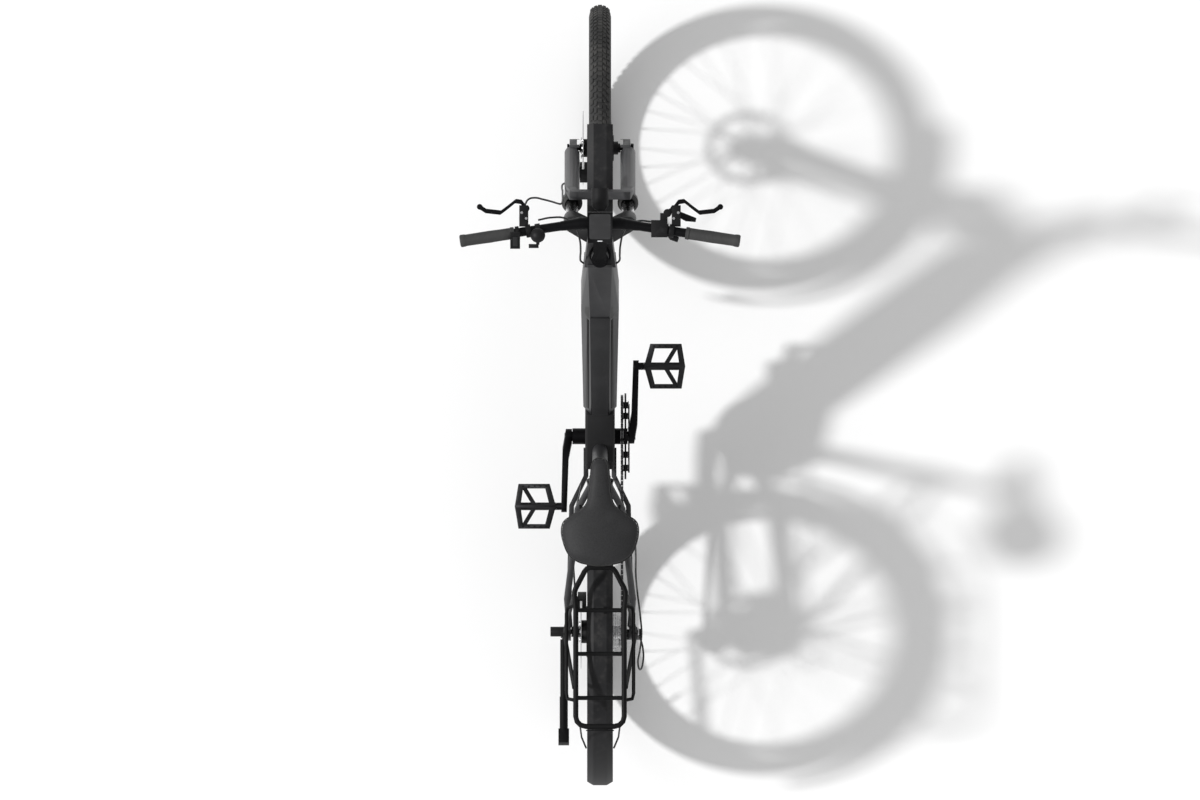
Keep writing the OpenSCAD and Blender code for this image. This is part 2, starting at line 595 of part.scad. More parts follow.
// A clamp ring that goes round the bar at a place along it
module bar_ring(x0, x1, r) difference() {
    rod(bar_pt(x0), bar_pt(x1), r, 48);
    rod(bar_pt(x0 - 5), bar_pt(x1 + 5), bar_end_r + 0.02, 48);
}
module display() color([0.08, 0.08, 0.09]) difference() {
    union() {
        translate([0, bar_y - 10, bar_z + 33]) rotate([9, 0, 0]) {
            box([-30, -37, -5], [30, 38, 7]);
            box([-24, -30, -7], [24, 30, -4]);
        }
        for (x = [-30, 24]) box([x, bar_y - 12, bar_z], [x + 6, bar_y + 12, bar_z + 29]);
        both() x_cyl(bar_clamp_r + 4, 24, 30, bar_y, bar_z);
    }
    x_cyl(bar_clamp_r + slip, -45, 45, bar_y, bar_z);
}
lever_drop = 6;
lever_pivot = [clamp_x - 3, bar_y + 36, bar_z - lever_drop];
module master() {
    bar_ring(clamp_x - 8, clamp_x + 4, bar_end_r + 5);
    difference() {
        union() {
            box([clamp_x - 2, bar_y - 8, bar_z - 14], [clamp_x + 20, bar_y + 44, bar_z + 8]);
        }
        rod(bar_pt(clamp_x - 20), bar_pt(clamp_x + 40), bar_end_r + 0.02, 48);
        box([lever_pivot.x - 12, lever_pivot.y - 13, lever_pivot.z - 5.3], [lever_pivot.x + 60, lever_pivot.y + 30, lever_pivot.z + 5.3]);
    }
    translate([lever_pivot.x + 6, lever_pivot.y, lever_pivot.z - 8]) cylinder(h = 16, r = 2.5);
}
module brake_masters() color([0.06, 0.06, 0.07]) both() master();
lever_line = [[6, 0], [18, 16], [32, 18], [52, 2], [68, -10], [104, -6], [119, 4]];
module lever_blade() translate([lever_pivot.x, lever_pivot.y, lever_pivot.z]) difference() {
    union() {
        translate([6, 0, -5]) cylinder(h = 10, r = 8);
        translate([0, 0, -5]) linear_extrude(10) polygon(concat([for (p = lever_line) p + [-1, 5.5]],
            [for (i = [len(lever_line) - 1:-1:0]) lever_line[i] + [1, -5.5]]));
        translate([119, 4, -5]) cylinder(h = 10, r = 7);
    }
    translate([6, 0, -10]) cylinder(h = 20, r = 2.5 + slip);
}
module right_brake_lever() color([0.08, 0.08, 0.09]) lever_blade();
module left_brake_lever() color([0.08, 0.08, 0.09]) mirror([1, 0, 0]) lever_blade();
shift_x = clamp_x - 34;
module shifter_body() color([0.06, 0.06, 0.07]) difference() {
    union() {
        bar_ring(shift_x + 8, shift_x + 22, bar_end_r + 5);
        box([shift_x - 18, bar_y - 34, bar_z - 14], [shift_x + 22, bar_y + 8, bar_z + 17]);
        translate([shift_x + 21.8, bar_y + 25, bar_z - 15]) cylinder(h = 13, r = 10);
        box([shift_x + 4, bar_y - 2, bar_z - 15], [shift_x + 22, bar_y + 25, bar_z - 2]);
    }
    rod(bar_pt(shift_x - 30), bar_pt(shift_x + 30), bar_end_r + 0.02, 48);
    box([shift_x + 14, bar_y - 46, bar_z - 12], [shift_x + 30, bar_y - 22, bar_z - 3.5]);
}
thumb_pivot = [shift_x + 16, bar_y - 18, bar_z - 19];
module shift_thumb_lever() color([0.1, 0.1, 0.1]) translate(thumb_pivot) {
    cylinder(h = 4.6, r = 6);
    linear_extrude(4.6) polygon([[-4, 0], [4, 2], [34, -16], [30, -28], [12, -22]]);
}
release_pivot = [shift_x + 30, bar_y + 31, bar_z - 22];
module shift_release_lever() color([0.1, 0.1, 0.1]) translate(release_pivot) {
    cylinder(h = 6.5, r = 6);
    linear_extrude(5) polygon([[-3, 4], [4, 5], [62, -18], [60, -28], [36, -26], [-2, -5]]);
}
pad_x = clamp_x + 18;
module control_pad() color([0.06, 0.06, 0.07]) mirror([1, 0, 0]) difference() {
    union() {
        bar_ring(pad_x + 2, pad_x + 11, bar_end_r + 4.5);
        translate(bar_pt(pad_x) + [0, -20, 15]) rotate([38, 0, 0]) box([0, -22, -6], [24, 22, 5]);
        translate(bar_pt(pad_x)) box([3.4, -14, 4], [8.3, 6, 16]);
    }
    rod(bar_pt(pad_x - 30), bar_pt(pad_x + 50), bar_end_r + 0.02, 48);
    rod(bar_pt(grip_x - 0.4), bar_pt(grip_x + 60), grip_r + 0.4, 48);
    translate(bar_pt(pad_x) + [0, -20, 15]) rotate([38, 0, 0]) box([5.5, -15.5, -1], [18.5, 15.5, 12]);
    translate(bar_pt(pad_x) + [0, -20, 15]) rotate([38, 0, 0]) x_cyl(1.6 + slip, 3, 21, 0, 0.9);
}
module assist_rocker() color([0.2, 0.2, 0.2]) mirror([1, 0, 0])
    translate(bar_pt(pad_x) + [0, -20, 15]) rotate([38, 0, 0]) {
        side_plate([[-14.6, 4.4], [-13, 6.6], [0, 5.6], [13, 6.6], [14.6, 4.4], [4, 2.2], [-4, 2.2]], 12, 12);
        x_cyl(1.6, 6, 18, 0, 0.9);
        box([9, -1.2, 0.6], [15, 1.2, 3]);
    }
bell_x = 151;
module bell() color([0.06, 0.06, 0.06]) mirror([1, 0, 0]) difference() {
    union() {
        bar_ring(bell_x - 6, bell_x + 6, bar_end_r + 3.5);
        translate(bar_pt(bell_x) + [0, -14, 19]) difference() {
            intersection() {
                sphere(r = 18);
                box([-20, -20, -2], [20, 20, 20]);
            }
            sphere(r = 16);
        }
        translate(bar_pt(bell_x) + [0, -14, 9]) cylinder(h = 27, r = 2.4);
        translate(bar_pt(bell_x)) box([-6, -19, 8], [6, 4, 15]);
        translate(bar_pt(bell_x)) box([-4, -37, 7], [4, -15, 10.7]);
        translate(bar_pt(bell_x) + [0, -33, 10]) cylinder(h = 6, r = 1.5);
    }
    rod(bar_pt(bell_x - 30), bar_pt(bell_x + 30), bar_end_r + 0.02, 48);
}
striker_pivot = bar_pt(bell_x) + [0, -33, 11];
module bell_striker() color([0.1, 0.1, 0.1]) mirror([1, 0, 0]) translate(striker_pivot) {
    difference() {
        union() {
            cylinder(h = 4, r = 3.4);
            box([-2, -12, 0], [22, -2, 3]);
            box([-3, -4, 0], [3, 0, 3]);
        }
        translate([0, 0, -1]) cylinder(h = 6, r = 1.5 + slip);
    }
}
module headlight() color([0.06, 0.06, 0.06]) {
    lamp_y = fork_y(20, crown_z + 20) + 30;
    lamp_z = fork_z(20, crown_z + 20) + 16;
    translate([0, lamp_y, lamp_z]) difference() {
        union() {
            translate([0, -12, 0]) rotate([-90, 0, 0]) cylinder(h = 36, r = 20.5);
            translate([0, -12, 0]) sphere(r = 20.5);
        }
        translate([0, 20, 0]) rotate([-90, 0, 0]) cylinder(h = 10, r = 18);
    }
    translate([0, lamp_y, lamp_z]) translate([0, 20.2, 0]) rotate([-90, 0, 0]) cylinder(h = 2.4, r = 17.8);
    difference() {
        hull() {
            at_fork() box([-8, -fork_offset + 24, crown_z + 12], [8, -fork_offset + 31, crown_z + 34]);
            translate([0, lamp_y, lamp_z]) box([-6, -26, -8], [6, -14, 8]);
        }
        translate([0, lamp_y - 12, lamp_z]) sphere(r = 20.52);
        at_fork() for (s = [-1, 1]) hull() {
            translate([s * stay_x, leg_y, crown_z]) cylinder(h = crown_h, r = stanchion_r + 5.52, $fn = 32);
            translate([0, -fork_offset, crown_z + 6]) cylinder(h = crown_h - 6, r = 25.02, $fn = 32);
        }
    }
}
// Cables that run from the handlebar into the frame and down to the fork
left_loom = [[-150, bar_y + 8, bar_z - 22], [-118, bar_y + 14, bar_z - 26], [-84, bar_y + 12, bar_z - 30], [-62, bar_y - 4, bar_z - 38],
    [-50, bar_y - 36, bar_z - 58], [-47, bar_y - 66, bar_z - 88], [-48, bar_y - 84, bar_z - 116], [-46, bar_y - 92, bar_z - 138], [-39.6, bar_y - 97, bar_z - 148]];
right_loom = [[124, bar_y + 4, bar_z - 19], [96, bar_y + 6, bar_z - 26], [72, bar_y - 2, bar_z - 32], [58, bar_y - 20, bar_z - 46],
    [50, bar_y - 50, bar_z - 72], [48, bar_y - 76, bar_z - 102], [48, bar_y - 88, bar_z - 126], [45, bar_y - 93, bar_z - 141], [39.6, bar_y - 97, bar_z - 148]];
fork_hose = [[-182, bar_y + 45.6, bar_z + 4], [-174, bar_y + 58, bar_z + 4], [-158, bar_y + 62, bar_z], [-138, bar_y + 58, bar_z - 8],
    [-118, bar_y + 53, bar_z - 26], [-102, bar_y + 48, bar_z - 62], [-94, bar_y + 48, bar_z - 130], [-91, bar_y + 56, bar_z - 220],
    [-90, bar_y + 66, bar_z - 300], [-90, bar_y + 78, bar_z - 345]];
module bar_cables() color([0.03, 0.03, 0.03]) {
    swept(left_loom, 2.6);
    swept(right_loom, 2.6);
    swept(fork_hose, 2.5);
}

// LOWER FORK

module fork_lowers() color([0.2, 0.2, 0.21]) at_fork() difference() {
    union() {
        for (s = [-1, 1]) {
            translate([s * stay_x, leg_y, 14]) cylinder(h = 322, r = leg_r);
            translate([s * stay_x, leg_y, 333]) cylinder(h = 15, r = leg_r + 6);
            box([s * (stay_x - 6) - 12, -20, -19], [s * (stay_x - 6) + 12, 16, 22]);
            hull() {
                box([s * (stay_x + 2) - 12, 10, 312], [s * (stay_x + 2) + 12, 19, 338]);
                box([s * (stay_x - 3) - 9, 20, guard_out + 6], [s * (stay_x - 3) + 9, 40, guard_out + 25]);
            }
        }
        box([3 - stay_x, 20, guard_out + 6], [stay_x - 3, 40, guard_out + 24]);
        box([-stay_x - 4, -46, 62], [18.6 - stay_x, -8, 92]);
    }
    rotate([25, 0, 0]) x_cyl(12.4, -60, -20, 0, disc_r - 8);
    for (s = [-1, 1]) translate([s * stay_x, leg_y, 150]) cylinder(h = 400, r = stanchion_r + slip);
    rotate([0, 90, 0]) translate([0, 0, -200]) cylinder(h = 400, r = 6 + slip);
    rotate([0, 90, 0]) translate([0, 0, 12 - stay_x]) cylinder(h = stay_x * 2 - 24, r = 24);
}
module front_fender() color([0.2, 0.2, 0.21]) {
    at_front() mudguard(171, 115);
    difference() {
        at_fork() box([-12, 22, guard_out - 6], [12, 38, guard_out + 5.98]);
        at_front() x_cyl(guard_out + 0.1, -20, 20);
    }
}
module front_caliper() color([0.06, 0.06, 0.07]) at_fork() rotate([25, 0, 0])
    translate([0, 0, disc_r - 8]) caliper_body(-41, 9.5);
module front_axle() color([0.4, 0.4, 0.42]) at_fork() {
    x_cyl(6, -stay_x - 10, stay_x + 8);
    x_cyl(10, -stay_x - 12, -stay_x - 6.5);
    x_cyl(11, stay_x + 6.5, stay_x + 14);
}

// WHEELS

module tyre() color([0.07, 0.07, 0.07]) rotate([0, 90, 0]) rotate_extrude($fn = 180) difference() {
    union() {
        translate([tyre_r - tyre_w / 2, 0]) circle(r = tyre_w / 2);
        translate([rim_r - 5.8, -rim_half + 2.7]) square([20, rim_half * 2 - 5.4]);
    }
    translate([tyre_r - tyre_w / 2 + 0.5, 0]) circle(r = tyre_w / 2 - 5.5);
    translate([rim_r - 10, -7]) square([18, 14]);
    translate([rim_r - 60, -60]) square([54.2, 120]);
    for (s = [-1, 1]) translate([rim_r - 30, s > 0 ? rim_half - 2.7 : -60]) square([30.3, 60 - rim_half + 2.7]);
}
module rim() color([0.08, 0.08, 0.08]) rotate([0, 90, 0]) difference() {
    rotate_extrude($fn = 180) difference() {
        polygon([[rim_r, -rim_half], [rim_r, rim_half], [rim_r - 14, rim_half], [rim_r - 26, 8],
            [rim_r - 26, -8], [rim_r - 14, -rim_half]]);
        translate([rim_r - 6, 2.4 - rim_half]) square([10, rim_half * 2 - 4.8]);
        polygon([[rim_r - 8, -11], [rim_r - 8, 11], [rim_r - 13, 12], [rim_r - 24, 6], [rim_r - 24, -6], [rim_r - 13, -12]]);
    }
    rotate([0, 90, 0]) cylinder(h = rim_r + 9, r = 3.2);
}
// Crossed spokes from two flanges to the rim
module spoke_set(left_x, left_r, right_x, right_r, cross_angle) {
    for (k = [0:spokes - 1]) {
        side = k % 2;
        a = k * 360 / spokes;
        hub_a = a + (floor(k / 2) % 2 == 0 ? cross_angle : -cross_angle);
        fr = side == 0 ? left_r : right_r;
        fx = side == 0 ? left_x + (floor(k / 2) % 2 == 0 ? 3 : 5.6) : right_x - (floor(k / 2) % 2 == 0 ? 3 : 5.6);
        rod([fx, fr * sin(hub_a), fr * cos(hub_a)], [side == 0 ? -3 : 3, (rim_r - 26.7) * sin(a), (rim_r - 26.7) * cos(a)], 1.1, 14);
    }
}
module front_tyre() at_front() tyre();
module front_rim() at_front() rim();
module rear_tyre() at_rear() tyre();
module rear_rim() at_rear() rim();
module front_spokes() color([0.25, 0.25, 0.26]) at_front() spoke_set(-30, 27, 32, 27, 62);
module rear_spokes() color([0.25, 0.25, 0.26]) at_rear() spoke_set(-31, 58, 20, 58, 40);
module front_hub() color([0.12, 0.12, 0.13]) at_front() difference() {
    union() {
        x_cyl(16, -38, 44);
        x_cyl(31, -31.5, -28.5);
        x_cyl(31, 30.5, 33.5);
        x_cyl(22, -39.9, -31);
        x_cyl(11, -stay_x + 18.5, stay_x - 18.5);
    }
    x_cyl(6 + slip, -90, 90);
}
module disc(x) {
    rotate([0, 90, 0]) difference() {
        union() {
            translate([0, 0, x - 1]) cylinder(h = 2, r = disc_r, $fn = 96);
        }
        difference() {
            translate([0, 0, x - 3]) cylinder(h = 6, r = disc_r - 17, $fn = 96);
            translate([0, 0, x - 4]) cylinder(h = 8, r = 30);
            for (k = [0:5]) rotate([0, 0, k * 60]) translate([-5, 0, x - 4]) cube([10, disc_r, 8]);
        }
        translate([0, 0, x - 3]) cylinder(h = 6, r = 16.2);
        for (k = [0:23]) rotate([0, 0, k * 15 + 4]) translate([disc_r - 9, 0, x - 3]) cylinder(h = 6, r = 3.4, $fn = 16);
    }
}
module front_disc() color([0.6, 0.6, 0.62]) at_front() difference() {
    union() {
        disc(-41);
        for (k = [0:5]) rotate([k * 60, 0, 0]) x_cyl(4, -44.5, -41, 0, 22);
    }
    x_cyl(16.2, -50, -30);
}
module rear_hub() color([0.12, 0.12, 0.13]) at_rear() difference() {
    union() {
        x_cyl(54, -28, 17);
        x_cyl(62, -33, -29.5);
        x_cyl(62, 18.5, 21.8);
        x_cyl(54, -30, 21.8);
        x_cyl(28, -44.9, -28);
        x_cyl(13, -drop_x + 1, 22);
    }
    x_cyl(6 + slip, -90, 90);
}
module rear_disc() color([0.6, 0.6, 0.62]) at_rear() difference() {
    union() {
        disc(disc_x);
        for (k = [0:5]) rotate([k * 60, 0, 0]) x_cyl(4, disc_x - 3.5, disc_x, 0, 22);
    }
    x_cyl(16.2, -60, -30);
}

// DRIVE

// A sprocket's outline: a tooth and a round gap for every link
module sprocket(teeth, thick) {
    r = pitch / 2 / sin(180 / teeth);
    linear_extrude(thick) difference() {
        circle(r = r + 3.2, $fn = 96);
        for (k = [0:teeth - 1]) rotate(k * 360 / teeth) translate([r, 0]) circle(r = 3.9, $fn = 14);
    }
}
module cassette() color([0.62, 0.62, 0.64]) at_rear() rotate([0, 90, 0]) difference() {
    union() {
        for (i = [0:len(cogs) - 1]) rotate([0, 0, 180 / cogs[i]])
            translate([0, 0, chain_line - 0.9 - (i - 1) * cog_step]) sprocket(cogs[i] == 16 ? cog_teeth : cogs[i], 1.8);
        translate([0, 0, 22.5]) cylinder(h = chain_line + cog_step + 5 - 22.5, r = 17);
    }
    translate([0, 0, 20]) cylinder(h = 60, r = 6 + slip);
}
arm_in = bb_w / 2;
module crank_arm() {
    hull() {
        x_cyl(18, arm_in, arm_in + 15, 0, 0);
        x_cyl(14.5, arm_in + 8, arm_in + 23, 42, 0);
    }
    hull() {
        x_cyl(14.5, arm_in + 8, arm_in + 23, 42, 0);
        x_cyl(14.5, arm_in + 12.5, arm_in + 26, crank_len, 0);
    }
}
module crankset() color([0.07, 0.07, 0.08]) translate(bb) difference() {
    union() {
        x_cyl(12, -arm_in - 5, arm_in + 5);
        crank_arm();
        rotate([180, 0, 0]) mirror([1, 0, 0]) crank_arm();
        for (k = [0:4]) rotate([k * 72 + 20, 0, 0]) box([arm_in + 0.1, -9, 0], [arm_in + 4, 9, spider_r + 8]);
        translate([0, crank_len, 0]) spindle();
        mirror([1, 0, 0]) translate([0, -crank_len, 0]) spindle();
    }
    x_cyl(4, -arm_in - 10, arm_in + 10);
}
module chainring() color([0.08, 0.08, 0.09]) translate(bb) {
    rotate([0, 90, 0]) difference() {
        union() {
            rotate([0, 0, 90 + 180 / ring_teeth]) translate([0, 0, chain_line - 1]) sprocket(ring_teeth, 2);
            translate([0, 0, chain_line + 6]) cylinder(h = 4.6, r = ring_r + 7.4, $fn = 96);
            for (k = [0:4]) rotate([0, 0, k * 72 + 20 + 90]) translate([spider_r, 0, chain_line]) cylinder(h = arm_in - chain_line, r = 8);
        }
        translate([0, 0, 40]) cylinder(h = 40, r = ring_r - 30);
        translate([0, 0, chain_line + 2]) difference() {
            cylinder(h = 20, r = ring_r - 12, $fn = 96);
            for (k = [0:4]) rotate([0, 0, k * 72 + 20 + 90]) translate([spider_r, 0, -1]) cylinder(h = 22, r = 8.1);
        }
    }
}
pedal_x0 = arm_in + 39;
pedal_x1 = arm_in + 139;
module pedal() {
    mid = (pedal_x0 + pedal_x1) / 2;
    difference() {
        union() {
            for (y = [-1, 1]) box([pedal_x0 + 15, y * 48.8 - 5.7, -9], [pedal_x1 - 9, y * 48.8 + 5.7, 9]);
            for (y = [-1, 1]) {
                translate([0, 0, -9]) linear_extrude(18) polygon([[pedal_x0, 0], [pedal_x0 + 15, y * 54.5], [pedal_x0 + 29, y * 54.5],
                    [pedal_x0 + 15, 0]]);
                translate([0, 0, -9]) linear_extrude(18) polygon([[pedal_x1, 0], [pedal_x1 - 9, y * 54.5], [pedal_x1 - 22, y * 54.5],
                    [pedal_x1 - 14, 0]]);
                translate([0, 0, -7]) linear_extrude(14) polygon([[mid - 6, 0], [mid + 6, 0], [pedal_x1 - 14, y * 50], [pedal_x1 - 26, y * 50]]);
            }
            x_cyl(9.5, pedal_x0, pedal_x1 - 2);
        }
        x_cyl(6 + slip, pedal_x0 - 5, pedal_x1 - 8);
    }
}
module spindle() {
    x_cyl(6, arm_in + 14, pedal_x1 - 10);
    x_cyl(9, arm_in + 14, pedal_x0 - play);
}
module right_pedal() color([0.16, 0.16, 0.17]) translate(bb + [0, crank_len, 0]) pedal();
module left_pedal() color([0.16, 0.16, 0.17]) translate(bb - [0, crank_len, 0]) mirror([1, 0, 0]) pedal();
module pulley(c) translate([chain_line - 1, c.x, c.y]) rotate([0, 90, 0]) difference() {
    union() {
        rotate([0, 0, 180 / pulley_teeth]) sprocket(pulley_teeth, 2);
        translate([0, 0, -3]) cylinder(h = 8, r = 7);
    }
    translate([0, 0, -5]) cylinder(h = 12, r = 2.5 + slip);
}
module guide_pulley() color([0.1, 0.1, 0.1]) pulley(guide_c);
module tension_pulley() color([0.1, 0.1, 0.1]) pulley(tension_c);

down_tube();
head_tube();
seat_tube();
bottom_bracket_shell();
chain_stays();
seat_stays();
frame_bearings();
seat_clamp();
rear_axle();
rear_fender();
rear_rack();
rear_caliper();
chain();
derailleur();
rear_cables();
battery_case();
battery_cells();
seatpost();
saddle_rails();
saddle();
kickstand_leg();
fork_crown();
stem();
handlebar();
display();
left_grip();
right_grip();
brake_masters();
shifter_body();
control_pad();
bell();
headlight();
bar_cables();
fork_lowers();
front_fender();
front_caliper();
front_axle();
front_tyre();
front_rim();
front_spokes();
front_hub();
front_disc();
rear_tyre();
rear_rim();
rear_spokes();
rear_hub();
rear_disc();
cassette();
crankset();
chainring();
left_pedal();
right_pedal();
left_brake_lever();
right_brake_lever();
shift_thumb_lever();
shift_release_lever();
assist_rocker();
bell_striker();
guide_pulley();
tension_pulley();
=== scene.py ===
# %% [markdown]
# A step-through electric city bicycle, seen straight from above.
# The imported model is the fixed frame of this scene: every tube, wheel and lever keeps the place and size it has there.
# This lesson gives each of those parts a real finish, and rebuilds by hand what looks plain up close:
# tyres, spokes, chain, saddle, grips, hoses, lamps, screws and covers.

# %% Load the frame
import bpy, bmesh, json, math
from mathutils import Matrix, Vector


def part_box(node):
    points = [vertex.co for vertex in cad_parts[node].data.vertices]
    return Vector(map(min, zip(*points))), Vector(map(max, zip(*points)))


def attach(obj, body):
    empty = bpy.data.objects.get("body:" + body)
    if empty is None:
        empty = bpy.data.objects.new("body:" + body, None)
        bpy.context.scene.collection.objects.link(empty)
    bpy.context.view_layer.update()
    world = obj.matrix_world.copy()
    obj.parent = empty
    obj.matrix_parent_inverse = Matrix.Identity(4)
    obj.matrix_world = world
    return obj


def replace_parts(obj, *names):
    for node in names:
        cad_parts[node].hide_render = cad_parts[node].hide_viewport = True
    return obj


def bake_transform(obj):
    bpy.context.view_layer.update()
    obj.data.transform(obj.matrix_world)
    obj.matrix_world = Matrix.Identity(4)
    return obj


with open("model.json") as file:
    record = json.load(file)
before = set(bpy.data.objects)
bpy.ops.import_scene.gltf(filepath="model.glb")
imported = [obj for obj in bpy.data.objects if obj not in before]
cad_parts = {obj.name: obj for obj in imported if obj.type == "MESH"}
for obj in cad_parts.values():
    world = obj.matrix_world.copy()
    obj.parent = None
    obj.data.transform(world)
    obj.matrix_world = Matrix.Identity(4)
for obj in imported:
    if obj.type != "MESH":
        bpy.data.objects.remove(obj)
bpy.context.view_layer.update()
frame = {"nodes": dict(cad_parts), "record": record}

# %% [markdown]
# The camera hangs above the bicycle and looks straight down, with the front wheel at the top of the picture.
# An orthographic lens is used because nothing in such a view gets smaller with distance.

# %% Camera
lens = bpy.data.cameras.new("camera")
lens.type, lens.ortho_scale = "ORTHO", 2.913
camera = bpy.data.objects.new("camera", lens)
camera.location = (0, -0.0097, 4)
bpy.context.scene.collection.objects.link(camera)
bpy.context.scene.camera = camera
print("camera above", tuple(camera.location))

# %% [markdown]
# The studio is a white floor under a pale sky, with one broad lamp low on the left side.
# The lamp is a sun, since its shadow has to be the same width from front to back.
# Two large soft panels near the bicycle put long highlights on the tubes.

# %% Studio
def lamp(name, kind, energy, place, aim, size=1.0):
    light = bpy.data.lights.new(name, kind)
    light.energy = energy
    if kind == "AREA":
        light.size = size
    else:
        light.angle = size
    holder = bpy.data.objects.new(name, light)
    holder.location = place
    holder.rotation_euler = (Vector(aim) - Vector(place)).to_track_quat("-Z", "Y").to_euler()
    bpy.context.scene.collection.objects.link(holder)
    return holder

sky = bpy.data.worlds.new("pale_sky")
sky.use_nodes = True
sky.node_tree.nodes["Background"].inputs[0].default_value = (1, 1, 1, 1)
sky.node_tree.nodes["Background"].inputs[1].default_value = 0.62
bpy.context.scene.world = sky
bpy.context.scene.view_settings.view_transform = "Standard"
lamp("low_sun", "SUN", 3.0, (-2.308, 0, 2), (0, 0, 0), math.radians(4))
lamp("left_panel", "AREA", 12, (-2.2, 0.4, 2.4), (0, 0, 0.6), 1.6)
lamp("rear_panel", "AREA", 7, (1.2, -2.4, 2.6), (0, 0, 0.6), 1.4)

bpy.ops.object.select_all(action="DESELECT")
bpy.ops.mesh.primitive_plane_add(size=60, location=(0, 0, -0.0005))
floor = bpy.context.object
floor.name = "studio_floor"
print("studio set")

# %% [markdown]
# Finishes are built from nodes. To keep the sums readable, a small class wraps one socket,
# so that an expression such as 1 - mask * 0.4 adds its own Math nodes.
# A Finish holds one material and makes every other node through a single method.

# %% Sums on sockets
class Value:
    def __init__(self, finish, socket):
        self.finish, self.socket = finish, socket

    def sum(self, operation, *terms, clamp=False):
        return self.finish.node("Math", {"operation": operation, "use_clamp": clamp}, *terms)

    def __add__(self, other): return self.sum("ADD", self, other)
    def __radd__(self, other): return self.sum("ADD", other, self)
    def __sub__(self, other): return self.sum("SUBTRACT", self, other)
    def __rsub__(self, other): return self.sum("SUBTRACT", other, self)
    def __mul__(self, other): return self.sum("MULTIPLY", self, other)
    def __rmul__(self, other): return self.sum("MULTIPLY", other, self)
    def __truediv__(self, other): return self.sum("DIVIDE", self, other)
    def above(self, level): return self.sum("GREATER_THAN", self, level)
    def below(self, level): return self.sum("LESS_THAN", self, level)
    def size(self): return self.sum("ABSOLUTE", self)
    def sine(self): return self.sum("SINE", self)
    def fraction(self): return self.sum("FRACT", self)
    def clamped(self): return self.sum("ADD", self, 0.0, clamp=True)

    def ramp(self, low, high):
        """0 below low, 1 above high, smooth between."""
        return self.finish.node("MapRange", {"interpolation_type": "SMOOTHSTEP"}, self, low, high, 0.0, 1.0)


class Finish:
    def __init__(self, name):
        self.material = bpy.data.materials.new(name)
        self.material.use_nodes = True
        self.tree = self.material.node_tree
        self.tree.nodes.clear()

    def node(self, kind, settings=None, *inputs, out=0, **named):
        made = self.tree.nodes.new("ShaderNode" + kind)
        for key, value in (settings or {}).items():
            setattr(made, key, value)
        for key, value in list(enumerate(inputs)) + [(k.replace("_", " "), v) for k, v in named.items()]:
            if value is None:
                continue
            if isinstance(value, Value):
                self.tree.links.new(value.socket, made.inputs[key])
            else:
                made.inputs[key].default_value = value
        return Value(self, made.outputs[out]) if made.outputs else None

    def place(self, scale=None):
        spot = self.node("TexCoord", out=3)
        return spot if scale is None else self.node("Mapping", None, spot, Scale=scale)

    def xyz(self, spot=None):
        apart = self.tree.nodes.new("ShaderNodeSeparateXYZ")
        self.tree.links.new((spot or self.place()).socket, apart.inputs[0])
        return [Value(self, s) for s in apart.outputs]

    def noise(self, scale, detail=2.0, spot=None, roughness=0.5):
        return self.node("TexNoise", None, Vector=spot or self.place(), Scale=scale, Detail=detail, Roughness=roughness)

    def sumroot(self, a, b):
        return self.node("Math", {"operation": "SQRT"}, a * a + b * b)

    def mix(self, factor, a, b):
        made = self.tree.nodes.new("ShaderNodeMix")
        made.data_type = "RGBA"
        for socket, value in ((made.inputs[0], factor), (made.inputs[6], a), (made.inputs[7], b)):
            if isinstance(value, Value):
                self.tree.links.new(value.socket, socket)
            else:
                socket.default_value = value if not isinstance(value, tuple) else (*value, 1)
        return Value(self, made.outputs[2])

    def bump(self, height, distance, strength=1.0, normal=None):
        return self.node("Bump", None, Strength=strength, Distance=distance, Height=height, Normal=normal)

    def surface(self, **sockets):
        for key, value in list(sockets.items()):
            if isinstance(value, tuple) and len(value) == 3:
                sockets[key] = (*value, 1)
        self.node("OutputMaterial", None, self.node("BsdfPrincipled", None, **sockets))
        return self.material

print("finish classes ready")

# %% [markdown]
# Painted tubes: a satin dark grey coat. Real paint is never one colour, so a slow noise lightens it a little,
# a fine orange peel disturbs its gloss, and dust dulls the faces that look up.

# %% Painted metal
def painted(name, colour, roughness=0.38, peel=1.0, coat=0.08, shine=0.3, groove=False):
    f = Finish(name)
    cloud = f.noise(9, 3)
    dust = f.noise(60, 4).ramp(0.45, 0.8)
    upward = f.xyz(f.node("NewGeometry", out=1))[2].ramp(0.3, 1.0)
    light = tuple(min(1, c * 1.45 + 0.004) for c in colour)
    tone = f.mix(cloud.ramp(0.3, 0.7) * 0.55, colour, light)
    tone = f.mix(dust * upward * 0.16, tone, (0.11, 0.105, 0.1))
    if groove:
        # Painted shade: the two recessed grooves along the top of the down tube are painted near black on their upward
        # faces.
        x, y, z = f.xyz()
        painted_groove_shade = x.size().ramp(0.0262, 0.0272) * (1 - x.size().ramp(0.0368, 0.0378)) * y.ramp(-0.075,
            -0.070) * (1 - y.ramp(0.214, 0.219)) * upward.above(0.02)
        tone = f.mix(painted_groove_shade, tone, (0.003, 0.003, 0.003))
    skin = f.noise(900, 2)
    return f.surface(**{"Base_Color": tone, "Specular_IOR_Level": shine,
        "Roughness": roughness + cloud * 0.1 + dust * upward * 0.12,
        "Coat_Weight": coat, "Coat_Roughness": 0.2, "Normal": f.bump(skin, 0.00004 * peel, 0.5)})

# %% [markdown]
# Moulded plastic and cast metal have a finer, rougher skin: small pits from the mould rather than orange peel.
# Two noises are added, one for the pits and one for the slight unevenness of the whole face.

